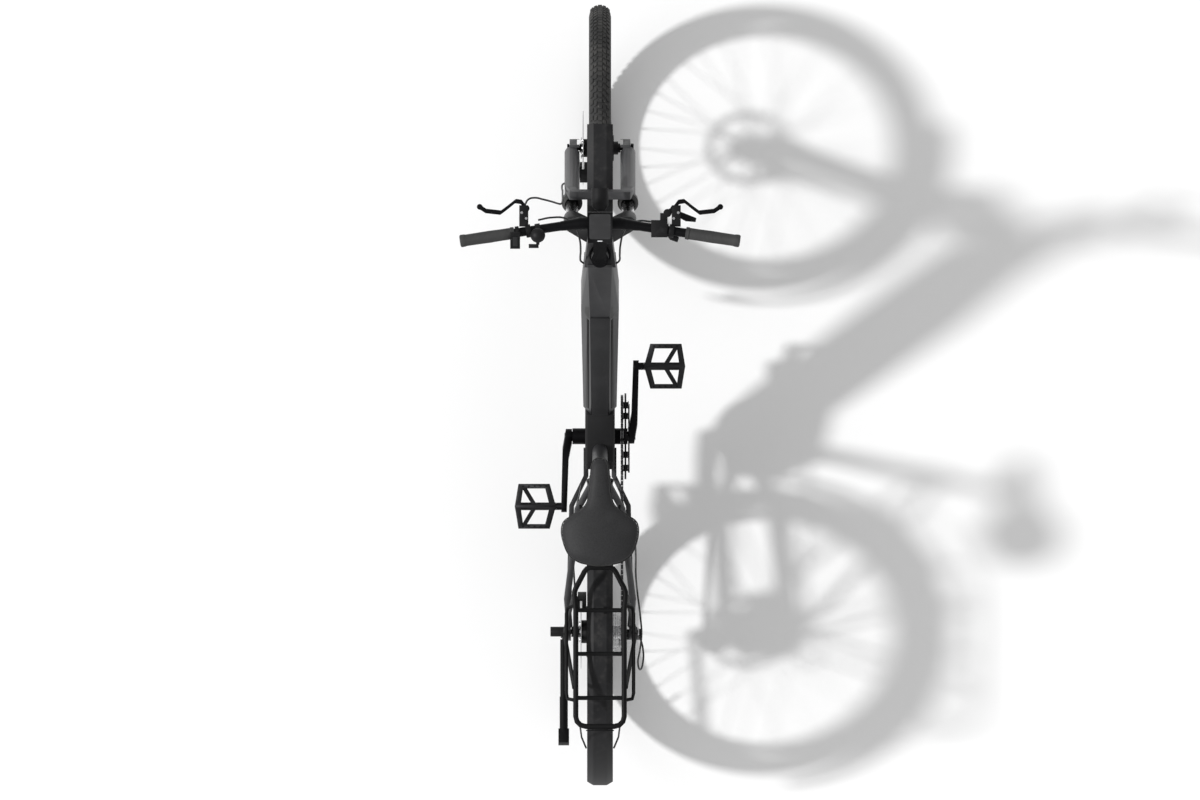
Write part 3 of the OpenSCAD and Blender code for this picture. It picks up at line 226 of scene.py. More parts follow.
# %% Moulded plastic, cast metal
def moulded(name, colour, roughness=0.5, grain=1500, depth=0.00006, metallic=0.0, shine=0.18):
    f = Finish(name)
    pits = f.node("TexVoronoi", None, Vector=f.place(), Scale=grain)
    slow = f.noise(14, 3)
    tone = f.mix(slow.ramp(0.35, 0.75) * 0.6, colour, tuple(c * 1.5 + 0.003 for c in colour))
    tone = f.mix(f.noise(240, 3).ramp(0.62, 0.8) * 0.2, tone, (0.07, 0.068, 0.065))
    return f.surface(Base_Color=tone, Roughness=roughness + slow * 0.12, Metallic=metallic, Specular_IOR_Level=shine,
        Normal=f.bump(pits + slow * 0.2, depth, 0.6))

# %% [markdown]
# Bare metal is brushed or turned. The marks follow the tool, so the noise is stretched along one axis,
# and for parts turned on a lathe the marks are rings about the axle.

# %% Bare metal
def brushed(name, colour, roughness=0.28, stretch=(1, 30, 30), scale=60, depth=0.00002):
    f = Finish(name)
    marks = f.noise(scale, 5, f.place(stretch), 0.7)
    blotch = f.noise(25, 2).ramp(0.4, 0.75)
    tone = f.mix(marks.ramp(0.3, 0.75), tuple(c * 0.72 for c in colour), colour)
    return f.surface(Base_Color=f.mix(blotch * 0.25, tone, tuple(c * 0.6 for c in colour)),
        Roughness=roughness + marks * 0.16 + blotch * 0.08, Metallic=1.0, Normal=f.bump(marks, depth, 0.5))

def turned(name, colour, centre, roughness=0.26, pitch=0.0009, depth=0.00003):
    """Rings about an axle that runs along X through centre."""
    f = Finish(name)
    x, y, z = f.xyz()
    y, z = y - centre[1], z - centre[2]
    radius = f.sumroot(y, z)
    wobble = f.noise(40, 3)
    rings = (radius * (6.2832 / pitch) + wobble * 5).sine() * 0.5 + 0.5
    spread = f.noise(300, 3)
    tone = f.mix(rings * 0.5 + spread * 0.3, tuple(c * 0.75 for c in colour), colour)
    return f.surface(Base_Color=tone, Roughness=roughness + spread * 0.14, Metallic=1.0, Normal=f.bump(rings, depth,
        0.4))


# %% [markdown]
# Rubber is matt and dusty: two noises of different sizes lay greyer patches over its dark colour.

# %% Rubber
def rubber(name, colour, dusty=0.25, roughness=0.72, grain=1100):
    f = Finish(name)
    grit, slow = f.noise(grain, 4), f.noise(22, 4)
    tone = f.mix(slow.ramp(0.35, 0.8) * dusty, colour, (0.075, 0.072, 0.068))
    tone = f.mix(f.noise(180, 5).ramp(0.58, 0.78) * dusty, tone, (0.12, 0.115, 0.105))
    return f.surface(Base_Color=tone, Roughness=roughness + slow * 0.15, Normal=f.bump(grit, 0.00008, 0.6))

# %% Make the finishes
rear_centre = [(a + b) / 2 for a, b in zip(*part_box("rear_tyre"))]
front_centre = [(a + b) / 2 for a, b in zip(*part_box("front_tyre"))]
finishes = {
    "frame_paint": painted("frame_paint", (0.020, 0.020, 0.0215)),
    "fork_paint": painted("fork_paint", (0.040, 0.040, 0.042), 0.42),
    "beam_paint": painted("beam_paint", (0.020, 0.020, 0.0215), groove=True),
    "fender_paint": painted("fender_paint", (0.009, 0.009, 0.0098), 0.52, 1.4, 0.0, 0.2),
    "motor_case": moulded("motor_case", (0.006, 0.006, 0.0065), 0.5, 1100, 0.00008),
    "black_plastic": moulded("black_plastic", (0.004, 0.004, 0.0045), 0.55),
    "grey_plastic": moulded("grey_plastic", (0.017, 0.017, 0.018), 0.5),
    "rack_coat": moulded("rack_coat", (0.0022, 0.0022, 0.0024), 0.5, 2200, 0.00005, shine=0.12),
    "black_alloy": brushed("black_alloy", (0.014, 0.014, 0.015), 0.4),
    "black_cast": moulded("black_cast", (0.007, 0.007, 0.0075), 0.45, 1300, 0.00006, 0.3),
    "post_alloy": brushed("post_alloy", (0.035, 0.035, 0.037), 0.25, (30, 30, 1)),
    "steel": brushed("steel", (0.55, 0.55, 0.56)),
    "rear_turned": turned("rear_turned", (0.62, 0.62, 0.63), rear_centre),
    "front_turned": turned("front_turned", (0.62, 0.62, 0.63), front_centre),
    "cog_nickel": turned("cog_nickel", (0.75, 0.75, 0.76), rear_centre, 0.2, 0.0013),
    "chain_steel": brushed("chain_steel", (0.42, 0.42, 0.43), 0.24, (4, 1, 1), 120),
    "rim_black": brushed("rim_black", (0.02, 0.02, 0.021), 0.3, (30, 1, 1)),
    "tyre_rubber": rubber("tyre_rubber", (0.012, 0.012, 0.012)),
    "tread_rubber": rubber("tread_rubber", (0.010, 0.010, 0.010), 0.5),
    "soft_rubber": rubber("soft_rubber", (0.014, 0.014, 0.014), 0.15, 0.6),
    "cell_wrap": moulded("cell_wrap", (0.03, 0.2, 0.12), 0.3),
    "glass_black": Finish("glass_black").surface(Base_Color=(0.004, 0.004, 0.005), Roughness=0.08, Coat_Weight=0.6,
        Coat_Roughness=0.04),
}

# %% [markdown]
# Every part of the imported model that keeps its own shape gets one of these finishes.

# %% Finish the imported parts
wearing = {
    "frame_paint": "down_tube head_tube seat_tube chain_stays seat_stays",
    "fork_paint": "fork_lowers",
    "fender_paint": "front_fender rear_fender",
    "motor_case": "bottom_bracket_shell front_hub rear_hub",
    "black_plastic": "display control_pad shifter_body shift_thumb_lever shift_release_lever headlight bell_striker "
        "bell saddle left_grip right_grip guide_pulley tension_pulley bar_cables rear_cables",
    "grey_plastic": "battery_case assist_rocker left_pedal right_pedal",
    "rack_coat": "rear_rack kickstand_leg",
    "black_alloy": "frame_bearings stem handlebar seat_clamp crankset chainring left_brake_lever right_brake_lever",
    "black_cast": "fork_crown brake_masters rear_caliper front_caliper derailleur",
    "post_alloy": "seatpost saddle_rails",
    "steel": "rear_axle front_axle front_spokes rear_spokes",
    "rear_turned": "rear_disc", "front_turned": "front_disc", "cog_nickel": "cassette",
    "chain_steel": "chain", "rim_black": "front_rim rear_rim", "tyre_rubber": "front_tyre rear_tyre",
    "cell_wrap": "battery_cells",
}
def wear(piece, finish):
    piece.data.materials.clear()
    piece.data.materials.append(finishes[finish])

for finish, parts in wearing.items():
    for part in parts.split():
        wear(frame["nodes"][part], finish)
print("finished", sum(len(p.split()) for p in wearing.values()), "of", len(frame["nodes"]), "parts")

# %% [markdown]
# Modelling by hand goes the same way each time: add a primitive at its size, go into edit mode, shape it, come out.
# These helpers start such a piece, pick faces by place or direction, apply a modifier, join copies and close the work.

# %% Workbench
def start(kind, name, **settings):
    bpy.ops.object.select_all(action="DESELECT")
    getattr(bpy.ops.mesh, "primitive_" + kind + "_add")(**settings)
    piece = bpy.context.object
    piece.name = piece.data.name = name
    return piece

def only(piece):
    bpy.ops.object.select_all(action="DESELECT")
    piece.select_set(True)
    bpy.context.view_layer.objects.active = piece

def edit(piece, action):
    """Runs an action in edit mode on the elements that are selected in the mesh."""
    only(piece)
    bpy.ops.object.mode_set(mode="EDIT")
    action()
    bpy.ops.object.mode_set(mode="OBJECT")

def pick(piece, test):
    """Selects the faces that pass a test of their middle and normal, and nothing else."""
    mesh = piece.data
    for group in (mesh.vertices, mesh.edges, mesh.polygons):
        group.foreach_set("select", [False] * len(group))
    count = 0
    for face in mesh.polygons:
        if test(face.center, face.normal):
            face.select = True
            count += 1
            for v in face.vertices:
                mesh.vertices[v].select = True
    return count

def modify(piece, kind, **settings):
    only(piece)
    modifier = piece.modifiers.new(kind.lower(), kind)
    for key, value in settings.items():
        setattr(modifier, key, value)
    bpy.ops.object.modifier_apply(modifier=modifier.name)
    return piece

def bevelled(piece, width, segments=2, angle=35):
    return modify(piece, "BEVEL", width=width, segments=segments, limit_method="ANGLE", angle_limit=math.radians(angle))

def copies(piece, name, places):
    """One piece made of a copy at each place; a place is a 4x4 matrix."""
    source = bmesh.new()
    source.from_mesh(piece.data)
    every = bmesh.new()
    mesh = bpy.data.meshes.new(name)
    for matrix in places:
        moved = source.copy()
        moved.transform(matrix)
        moved.to_mesh(mesh)
        every.from_mesh(mesh)
        moved.free()
    every.to_mesh(mesh)
    source.free(), every.free()
    made = bpy.data.objects.new(name, mesh)
    bpy.context.scene.collection.objects.link(made)
    bpy.data.objects.remove(piece)
    return made

def close(piece, finish, body, *nodes, angle=35, slot=None):
    """Applies the place, smooths, gives the finish, and fixes the piece to its body."""
    only(piece)
    bpy.ops.object.transform_apply(location=True, rotation=True, scale=True)
    bpy.ops.object.shade_smooth_by_angle(angle=math.radians(angle))
    wear(piece, finish)
    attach(piece, body)
    if nodes:
        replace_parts(piece, *nodes)
    return piece

def tidy_normals(piece, merge=0.00005):
    def work():
        bpy.ops.mesh.select_all(action="SELECT")
        bpy.ops.mesh.remove_doubles(threshold=merge)
        bpy.ops.mesh.normals_make_consistent(inside=False)
    edit(piece, work)
    return piece

def join(name, *pieces):
    only(pieces[0])
    for p in pieces:
        p.select_set(True)
    bpy.ops.object.join()
    pieces[0].name = pieces[0].data.name = name
    return pieces[0]

print("workbench ready")

# %% [markdown]
# Both tyres are 57 mm wide touring tyres. The carcass is drawn as half a ring of points and spun about the axle,
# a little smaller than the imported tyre, so that the tread blocks stand up to its outer size.
# The side wall has thin rings where the mould halves and the rim line meet.

# %% Tyre carcass
tyre_low, tyre_high = map(Vector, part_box("rear_tyre"))
tyre_radius = (tyre_high.z - tyre_low.z) / 2
tyre_half = (tyre_high.x - tyre_low.x) / 2
tread_depth = 0.0022
core_radius = tyre_radius - tyre_half

def spun(name, outline, centre, steps=120, closed_profile=False):
    """A ring made by spinning an outline of (x, radius) points about the axle."""
    mesh = bpy.data.meshes.new(name)
    points = [(x, 0, r) for x, r in outline]
    edges = [(i, i + 1) for i in range(len(points) - 1)] + ([(len(points) - 1, 0)] if closed_profile else [])
    mesh.from_pydata(points, edges, [])
    ring = bpy.data.objects.new(name, mesh)
    bpy.context.scene.collection.objects.link(ring)
    def work():
        bpy.ops.mesh.select_all(action="SELECT")
        bpy.ops.mesh.spin(steps=steps, angle=2 * math.pi, center=(0, 0, 0), axis=(1, 0, 0))
        bpy.ops.mesh.select_all(action="SELECT")
        bpy.ops.mesh.remove_doubles(threshold=0.00002)
        bpy.ops.mesh.normals_make_consistent(inside=False)
    edit(ring, work)
    ring.location = centre
    return ring

def tyre_outline():
    wall = tyre_half - tread_depth
    outer = []
    for k in range(37):
        turn = math.radians(-128 + 256 * k / 36)
        swell = 0.0007 if k in (5, 31) else 0.0
        outer.append(((wall + swell) * math.sin(turn), core_radius + (wall + swell) * math.cos(turn)))
    inner = [(x * 0.86, core_radius + (r - core_radius) * 0.86) for x, r in reversed(outer)]
    return outer + inner

def tyre(name, centre, body, node):
    carcass = spun(name, tyre_outline(), centre, 132, True)
    return close(carcass, "tyre_rubber", body, node, angle=60)

tyre("rear_carcass", rear_centre, "rear_wheel", "rear_tyre")
tyre("front_carcass", front_centre, "front_wheel", "front_tyre")
print("tyres", round(tyre_radius, 4), "half width", round(tyre_half, 4))

# %% [markdown]
# The tread has a centre band of short cross blocks, two rows of slanted blocks beside it and larger shoulder lugs.
# One block of each kind is modelled and tapered, then copied round the tyre. Each has only a few faces.

# %% Tread blocks
def tread_block(name, wide, long, skew):
    block = start("cube", name, size=1, scale=(wide, long, 0.0060))
    only(block)
    bpy.ops.object.transform_apply(scale=True)
    pick(block, lambda c, n: n.z > 0.9)
    edit(block, lambda: bpy.ops.transform.resize(value=(0.84, 0.8, 1)))
    for v in block.data.vertices:
        v.co.y += v.co.x * skew
    return block

def round_tyre(name, wide, long, skew, tilt, count, shift, centre, body):
    block = tread_block(name, wide, long, skew)
    reach = tyre_half - 0.003
    places = []
    for k in range(count):
        spin = Matrix.Rotation(2 * math.pi * (k + shift) / count, 4, "X")
        lean = Matrix.Translation((0, 0, core_radius)) @ Matrix.Rotation(math.radians(tilt), 4,
            "Y") @ Matrix.Translation((0, 0, reach))
        places.append(Matrix.Translation(centre) @ spin @ lean)
    return copies(block, name, places)

rows = [("centre", 0.0115, 0.0105, 0.0, 0, 150, 0.0), ("left_inner", 0.0085, 0.0120, 0.45, -24, 120, 0.0),
    ("right_inner", 0.0085, 0.0120, -0.45, 24, 120, 0.5), ("left_shoulder", 0.0110, 0.0125, 0.25, -47, 110, 0.25),
    ("right_shoulder", 0.0110, 0.0125, -0.25, 47, 110, 0.75)]
for wheel, centre, body in (("rear", rear_centre, "rear_wheel"), ("front", front_centre, "front_wheel")):
    tread = join(wheel + "_tread", *[round_tyre(f"{wheel}_{row}", w, l, s, t, n, h, centre, body) for row, w, l, s,
        t, n, h in rows])
    close(tread, "tread_rubber", body, angle=20)
    print(tread.name, len(tread.data.polygons), "faces")

# %% [markdown]
# Each wheel is laced with 36 crossed spokes. A spoke is a 2 mm wire from a hole in the hub flange to a brass-coloured
# or black nipple in the rim. Here a wire and its nipple are one turned outline, copied and aimed 36 times.

# %% Spokes and nipples
rim_low, rim_high = map(Vector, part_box("rear_rim"))
rim_inner = (rim_high.z - rim_low.z) / 2 - 0.026

def spoke(name, head, foot):
    """A wire with a nipple at its rim end."""
    head, foot = Vector(head), Vector(foot)
    length = (foot - head).length
    wire = start("cylinder", name, vertices=8, radius=0.001, depth=length, location=(0, 0, length / 2))
    only(wire)
    bpy.ops.object.transform_apply(location=True)
    pick(wire, lambda c, n: n.z > 0.9)
    def nipple():
        bpy.ops.transform.translate(value=(0, 0, -0.014))
        for grow, rise in ((1.75, 0), (1, 0.011), (1.25, 0.0005), (1, 0.0025)):
            bpy.ops.mesh.extrude_region_move(TRANSFORM_OT_translate={"value": (0, 0, rise)})
            bpy.ops.transform.resize(value=(grow, grow, 1))
    edit(wire, nipple)
    wire.matrix_world = Matrix.Translation(head) @ (foot - head).to_track_quat("Z", "Y").to_matrix().to_4x4()
    return wire

def lacing(name, centre, flanges, body, node, count=36, cross=68):
    wires = []
    for k in range(count):
        x, flange = flanges[k % 2]
        side = 1 if (k // 2) % 2 else -1
        at_rim = 2 * math.pi * k / count
        at_hub = at_rim + side * math.radians(cross)
        head = Vector((x, flange * math.sin(at_hub), flange * math.cos(at_hub)))
        foot = Vector((0.004 if x > 0 else -0.004, rim_inner * math.sin(at_rim), rim_inner * math.cos(at_rim)))
        wires.append(spoke(f"{name}_{k}", head + Vector(centre), foot + Vector(centre)))
    return close(join(name, *wires), "spoke_black", body, node, angle=40)

finishes["spoke_black"] = brushed("spoke_black", (0.10, 0.10, 0.105), 0.3, (1, 1, 1), 200)
lacing("front_wires", front_centre, [(-0.030, 0.027), (0.032, 0.027)], "front_wheel", "front_spokes")
lacing("rear_wires", rear_centre, [(-0.031, 0.058), (0.020, 0.058)], "rear_wheel", "rear_spokes", cross=40)
print("spokes laced")

# %% [markdown]
# A car-type valve with its dust cap stands on each rim, pointing at the axle.

# %% Valves
def valve(name, centre, body, turn):
    stem = start("cylinder", name, vertices=20, radius=0.0038, depth=0.012, location=(0, 0, 0.006))
    only(stem)
    bpy.ops.object.transform_apply(location=True)
    pick(stem, lambda c, n: n.z > 0.9)
    def steps():
        for grow, rise in ((0.72, 0.0), (1, 0.012), (1.2, 0.0), (1, 0.010), (0.7, 0.0015)):
            bpy.ops.mesh.extrude_region_move(TRANSFORM_OT_translate={"value": (0, 0, rise)})
            bpy.ops.transform.resize(value=(grow, grow, 1))
    edit(stem, steps)
    bevelled(stem, 0.0003, 1)
    stem.matrix_world = (Matrix.Translation(centre) @ Matrix.Rotation(math.radians(turn), 4, "X")
        @ Matrix.Translation((0, 0, rim_inner + 0.001)) @ Matrix.Rotation(math.pi, 4, "X"))
    return close(stem, "soft_rubber", body)

valve("front_valve", front_centre, "front_wheel", 20)
valve("rear_valve", rear_centre, "rear_wheel", 140)
print("valves fitted")

# %% [markdown]
# Machined, moulded and welded parts never have knife edges: light catches a small round on every corner.
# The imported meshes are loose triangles, so a copy of each is merged, its flat faces are joined into single ones,
# and a bevel modifier rounds only the edges where two faces meet sharply.

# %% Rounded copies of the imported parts
body_of_node = {node: body for body, nodes in frame["record"]["behaviour"]["bodies"].items() for node in nodes}

def softened(node, width, finish, segments=2, angle=32):
    source = frame["nodes"][node]
    piece = bpy.data.objects.new(node + "_finished", source.data.copy())
    bpy.context.scene.collection.objects.link(piece)
    piece.data.name = piece.name
    def join_faces():
        bpy.ops.mesh.select_all(action="SELECT")
        bpy.ops.mesh.remove_doubles(threshold=0.00002)
        bpy.ops.mesh.dissolve_limited(angle_limit=math.radians(0.6), delimit={"NORMAL"})
    edit(piece, join_faces)
    modify(piece, "BEVEL", width=width, segments=segments, limit_method="ANGLE",
        angle_limit=math.radians(angle), use_clamp_overlap=True, harden_normals=False)
    return close(piece, finish, body_of_node[node], node, angle=angle)

soft_edges = [("down_tube", 0.0016, "beam_paint"), ("bottom_bracket_shell", 0.003, "motor_case"),
    ("chain_stays", 0.0012, "frame_paint"), ("seat_clamp", 0.0008, "black_alloy"), ("battery_case", 0.0014,
        "grey_plastic"),
    ("kickstand_leg", 0.0012, "rack_coat"), ("stem", 0.0018, "black_alloy"), ("display", 0.0022, "black_plastic"),
    ("brake_masters", 0.0016, "black_cast"), ("shifter_body", 0.0016, "black_plastic"), ("control_pad", 0.0014,
        "black_plastic"),
    ("left_brake_lever", 0.0026, "black_alloy"), ("right_brake_lever", 0.0026, "black_alloy"),
    ("shift_thumb_lever", 0.0011, "black_plastic"), ("shift_release_lever", 0.0011, "black_plastic"),
    ("assist_rocker", 0.0006, "grey_plastic"),
    ("front_caliper", 0.0016, "black_cast"), ("rear_caliper", 0.0016, "black_cast"),
    ("left_pedal", 0.0010, "pedal_metal"), ("right_pedal", 0.0010, "pedal_metal"), ("headlight", 0.0010,
        "black_plastic"),
    ("bell_striker", 0.0004, "black_plastic"), ("crankset", 0.0012, "black_alloy")]
finishes["pedal_metal"] = brushed("pedal_metal", (0.045, 0.045, 0.047), 0.36, (1, 1, 20), 80)
for node, width, finish in soft_edges:
    made = softened(node, width, finish)
    grown = max(abs(a - b) for low_high in zip(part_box(node), (
        [min(v.co[i] for v in made.data.vertices) for i in range(3)],
        [max(v.co[i] for v in made.data.vertices) for i in range(3)])) for a, b in zip(*low_high))
    print(node, len(made.data.polygons), "faces, box off by", round(grown * 1000, 2), "mm")

# %% [markdown]
# The saddle is a gel city saddle: a padded cover stretched over a plastic base, with a piped seam between them.
# Its outline is a table of half-widths from the nose to the tail. Sections across it are lofted into a closed form.

# %% Saddle sections
saddle_low, saddle_high = map(Vector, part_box("saddle"))
saddle_plan = [(0, 11), (6, 17.5), (20, 23.5), (59, 27), (104, 33), (121, 44), (138, 68), (154, 90), (177, 96.5),
    (204, 92),
    (233, 80), (250, 61), (262, 26)]
saddle_crown = [(0, 19), (10, 13), (28, 10), (66, 8), (122, 5), (178, 0), (234, 0), (250, 5), (262, 15)]

def along(table, d):
    """A smooth value at distance d from a table of (distance, value), both in millimetres."""
    table = [(a, b) for a, b in table]
    d = min(max(d, table[0][0]), table[-1][0])
    i = max(k for k in range(len(table) - 1) if table[k][0] <= d)
    (x0, y0), (x1, y1) = table[i], table[i + 1]
    before = table[i - 1] if i else (x0 - (x1 - x0), y0)
    after = table[i + 2] if i + 2 < len(table) else (x1 + (x1 - x0), y1)
    s0 = (y1 - before[1]) / (x1 - before[0])
    s1 = (after[1] - y0) / (after[0] - x0)
    t, h = (d - x0) / (x1 - x0), x1 - x0
    return ((2 * t**3 - 3 * t**2 + 1) * y0 + (t**3 - 2 * t**2 + t) * h * s0
        + (3 * t**2 - 2 * t**3) * y1 + (t**3 - t**2) * h * s1)

def saddle_loft(name, inset, top_drop, floor_depth, sides=40, stations=44):
    """A closed form between the crown line and a floor that lies below it, all inset by some millimetres."""
    length = (saddle_high.y - saddle_low.y) * 1000
    verts, faces = [], []
    for i in range(stations):
        s = 0.5 - 0.5 * math.cos(math.pi * i / (stations - 1))
        d = inset + (length - 2 * inset) * s
        half = max(along(saddle_plan, d) - inset, 3)
        top = along(saddle_crown, d) + top_drop
        for k in range(sides):
            a = 2 * math.pi * k / sides
            x = half * math.copysign(abs(math.cos(a)) ** 0.75, math.cos(a))
            fall = 15 * (abs(x) / 97) ** 2.4
            if math.sin(a) >= 0:
                z = -top - fall - 15 * (1 - abs(math.sin(a)) ** 0.7)
            else:
                z = -top - fall - 15 - floor_depth * abs(math.sin(a)) ** 0.6
            verts.append((x / 1000, saddle_high.y - d / 1000, saddle_high.z + z / 1000))
    for i in range(stations - 1):
        for k in range(sides):
            a, b = i * sides + k, i * sides + (k + 1) % sides
            faces.append((a, b, b + sides, a + sides))
    faces.append(tuple(range(sides - 1, -1, -1)))
    faces.append(tuple((stations - 1) * sides + k for k in range(sides)))
    mesh = bpy.data.meshes.new(name)
    mesh.from_pydata(verts, [], faces)
    piece = bpy.data.objects.new(name, mesh)
    bpy.context.scene.collection.objects.link(piece)
    return tidy_normals(piece)

# %% [markdown]
# The cover is puffed up with a short cloth simulation: the loft is remeshed to an even grid, pressure swells it
# while the skirt below the seam is pinned, and no point may move more than 4 mm. Its leather has a fine pebble
# grain with painted shade in the hollows between the pebbles, and a slight polish on the crown where it is sat on.

# %% Saddle cover
def saddle_leather():
    f = Finish("saddle_leather")
    pebble = f.node("TexVoronoi", {"feature": "SMOOTH_F1"}, Vector=f.place(), Scale=620.0)
    slow = f.noise(18, 3)
    polish = f.xyz(f.node("NewGeometry", out=1))[2].ramp(0.7, 1.0)
    # Painted shade: the colour darkens towards the edges of the pebbles, where the grain's hollows are.
    tone = f.mix(pebble.ramp(0.2, 0.7) * 0.7, (0.020, 0.020, 0.021), (0.008, 0.008, 0.0085))
    tone = f.mix(slow.ramp(0.45, 0.8) * 0.35, tone, (0.032, 0.032, 0.033))
    return f.surface(Base_Color=tone, Roughness=0.62 + slow * 0.14 - polish * 0.06, Specular_IOR_Level=0.25,
        Normal=f.bump((1 - pebble) + f.noise(90, 2) * 0.4, 0.00022, 0.55))
finishes["saddle_leather"] = saddle_leather()

cover = saddle_loft("saddle_cover", 2.5, 2.0, 9)
modify(cover, "REMESH", mode="VOXEL", voxel_size=0.0045)
modify(cover, "SMOOTH", factor=0.5, iterations=6)
before = [v.co.copy() for v in cover.data.vertices]
pins = cover.vertex_groups.new(name="pins")
skirt = [v.index for v in cover.data.vertices
    if v.co.z < saddle_high.z - (along(saddle_crown,
        (saddle_high.y - v.co.y) * 1000) + 17 + 15 * (abs(v.co.x) / 0.097) ** 2.4) / 1000]
pins.add(skirt, 1.0, "REPLACE")
only(cover)
cloth = cover.modifiers.new("cloth", "CLOTH")
cloth.settings.quality = 5
cloth.settings.vertex_group_mass = "pins"
cloth.settings.use_pressure = True
cloth.settings.uniform_pressure_force = 4
cloth.settings.effector_weights.gravity = 0
scene = bpy.context.scene
for frame_number in range(1, 21):
    scene.frame_set(frame_number)
bpy.ops.object.modifier_apply(modifier="cloth")
scene.frame_set(1)
for v, old in zip(cover.data.vertices, before):
    move = v.co - old
    if move.length > 0.004:
        v.co = old + move.normalized() * 0.004
modify(cover, "SMOOTH", factor=0.5, iterations=4)
modify(cover, "SUBSURF", levels=1, render_levels=1)
for v in cover.data.vertices:
    v.co.z = min(v.co.z, saddle_high.z)
cover.vertex_groups.clear()
close(cover, "saddle_leather", "seat", "saddle", angle=80, slot="saddle_cover")
print("saddle cover", len(cover.data.polygons), "faces")

# %% [markdown]
# Under the cover sits the stiff base that grips the rails, and a round piping covers the seam between them.
# The piping follows the same outline, as a closed curve with a round section, turned into a mesh.

# %% Saddle base and piping
base = saddle_loft("saddle_base", 4.0, 15, 14)
close(base, "black_plastic", "seat", angle=50)

def tube(name, points, radius, closed=False, steps=6, sides=3):
    """A smooth round tube through the points."""
    line = bpy.data.curves.new(name, "CURVE")
    line.dimensions, line.bevel_depth, line.bevel_resolution = "3D", radius, sides
    line.use_fill_caps, line.resolution_u = True, steps
    spline = line.splines.new("BEZIER")
    spline.bezier_points.add(len(points) - 1)
    for knot, point in zip(spline.bezier_points, points):
        knot.co = point
        knot.handle_left_type = knot.handle_right_type = "AUTO"
    spline.use_cyclic_u = closed
    made = bpy.data.objects.new(name, line)
    bpy.context.scene.collection.objects.link(made)
    only(made)
    bpy.ops.object.convert(target="MESH")
    return bpy.context.object

seam = []
for side in (1, -1):
    reach = [3 + 256 * k / 22 for k in range(23)]
    for d in (reach if side > 0 else reversed(reach)):
        x = (along(saddle_plan, d) - 2.6) * side
        drop = along(saddle_crown, d) + 19 + 15 * (abs(x) / 97) ** 2.4
        seam.append((x / 1000, saddle_high.y - d / 1000, saddle_high.z - drop / 1000))
close(tube("saddle_piping", seam, 0.0014, True), "soft_rubber", "seat", angle=60)
print("saddle base and piping done")

# %% [markdown]
# The chain has about 120 half-inch links. Wide outer plates and narrower inner plates take turns, joined by
# rollers on pins. One outer and one inner link are modelled and copied round the path, which is straight between
# the sprockets and follows their pitch circles.

# %% Chain path
def middle(node):
    low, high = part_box(node)
    return [(a + b) / 2 for a, b in zip(low, high)]

pitch = 0.0127
chain_low, chain_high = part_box("chain")
chain_x = (chain_low[0] + chain_high[0]) / 2
pitch_radius = lambda teeth: pitch / 2 / math.sin(math.pi / teeth)
def wheel(node, teeth, side):
    m = middle(node)
    return (m[1], m[2], side * pitch_radius(teeth))
ring_middle = middle("chainring")
wheels = [(ring_middle[1], ring_middle[2], -pitch_radius(48)), wheel("tension_pulley", 11, -1),
    wheel("guide_pulley", 11, 1),
    (rear_centre[1], rear_centre[2], -pitch_radius(16))]

def tangent(a, b):
    dy, dz = b[0] - a[0], b[1] - a[1]
    return math.atan2(dz, dy) + math.acos((b[2] - a[2]) / math.hypot(dy, dz))

path = []
for i, w in enumerate(wheels):
    a0, a1 = tangent(wheels[i - 1], w), tangent(w, wheels[(i + 1) % 4])
    turn = -((a0 - a1) % (2 * math.pi)) if w[2] < 0 else (a1 - a0) % (2 * math.pi)
    count = max(2, int(abs(turn) / 0.03))
    for k in range(count + 1):
        a = a0 + turn * k / count
        path.append((w[0] - w[2] * math.cos(a), w[1] - w[2] * math.sin(a)))
path.append(path[0])
reach = [0]
for a, b in zip(path, path[1:]):
    reach.append(reach[-1] + math.dist(a, b))
links = 2 * round(reach[-1] / pitch / 2)

def on_path(s):
    s %= reach[-1]
    i = max(k for k in range(len(reach) - 1) if reach[k] <= s)
    t = (s - reach[i]) / max(reach[i + 1] - reach[i], 1e-9)
    return [p + (q - p) * t for p, q in zip(path[i], path[i + 1])]

pins = [on_path(reach[-1] * k / links) for k in range(links)]
print("chain", round(reach[-1], 3), "m,", links, "links")

# %% Chain links
def plate(name, x, thick, height):
    """A side plate with two round ends and a waist, standing across X."""
    flat = start("cylinder", name, vertices=16, radius=height, depth=thick, rotation=(0, math.radians(90), 0),
        location=(x, 0, 0))
    only(flat)
    bpy.ops.object.transform_apply(location=True, rotation=True)
    for v in flat.data.vertices:
        if v.co.y > 0.0001: v.co.y += pitch / 2
        elif v.co.y < -0.0001: v.co.y -= pitch / 2
        else: v.co.z *= 0.72
    return flat

def link(name, half, roller):
    parts = [plate(name, half, 0.0009, 0.0040), plate(name, -half, 0.0009, 0.0040)]
    for y in (-pitch / 2, pitch / 2) if roller else ():
        parts.append(start("cylinder", name, vertices=12, radius=0.0030, depth=half * 2, location=(0, y, 0),
            rotation=(0, math.radians(90), 0)))
    if not roller:
        for y in (-pitch / 2, pitch / 2):
            parts.append(start("cylinder", name, vertices=10, radius=0.0016, depth=half * 2 + 0.0016, location=(0,
                y, 0), rotation=(0, math.radians(90), 0)))
    for p in parts:
        only(p)
        bpy.ops.object.transform_apply(location=True, rotation=True, scale=True)
    return join(name, *parts)

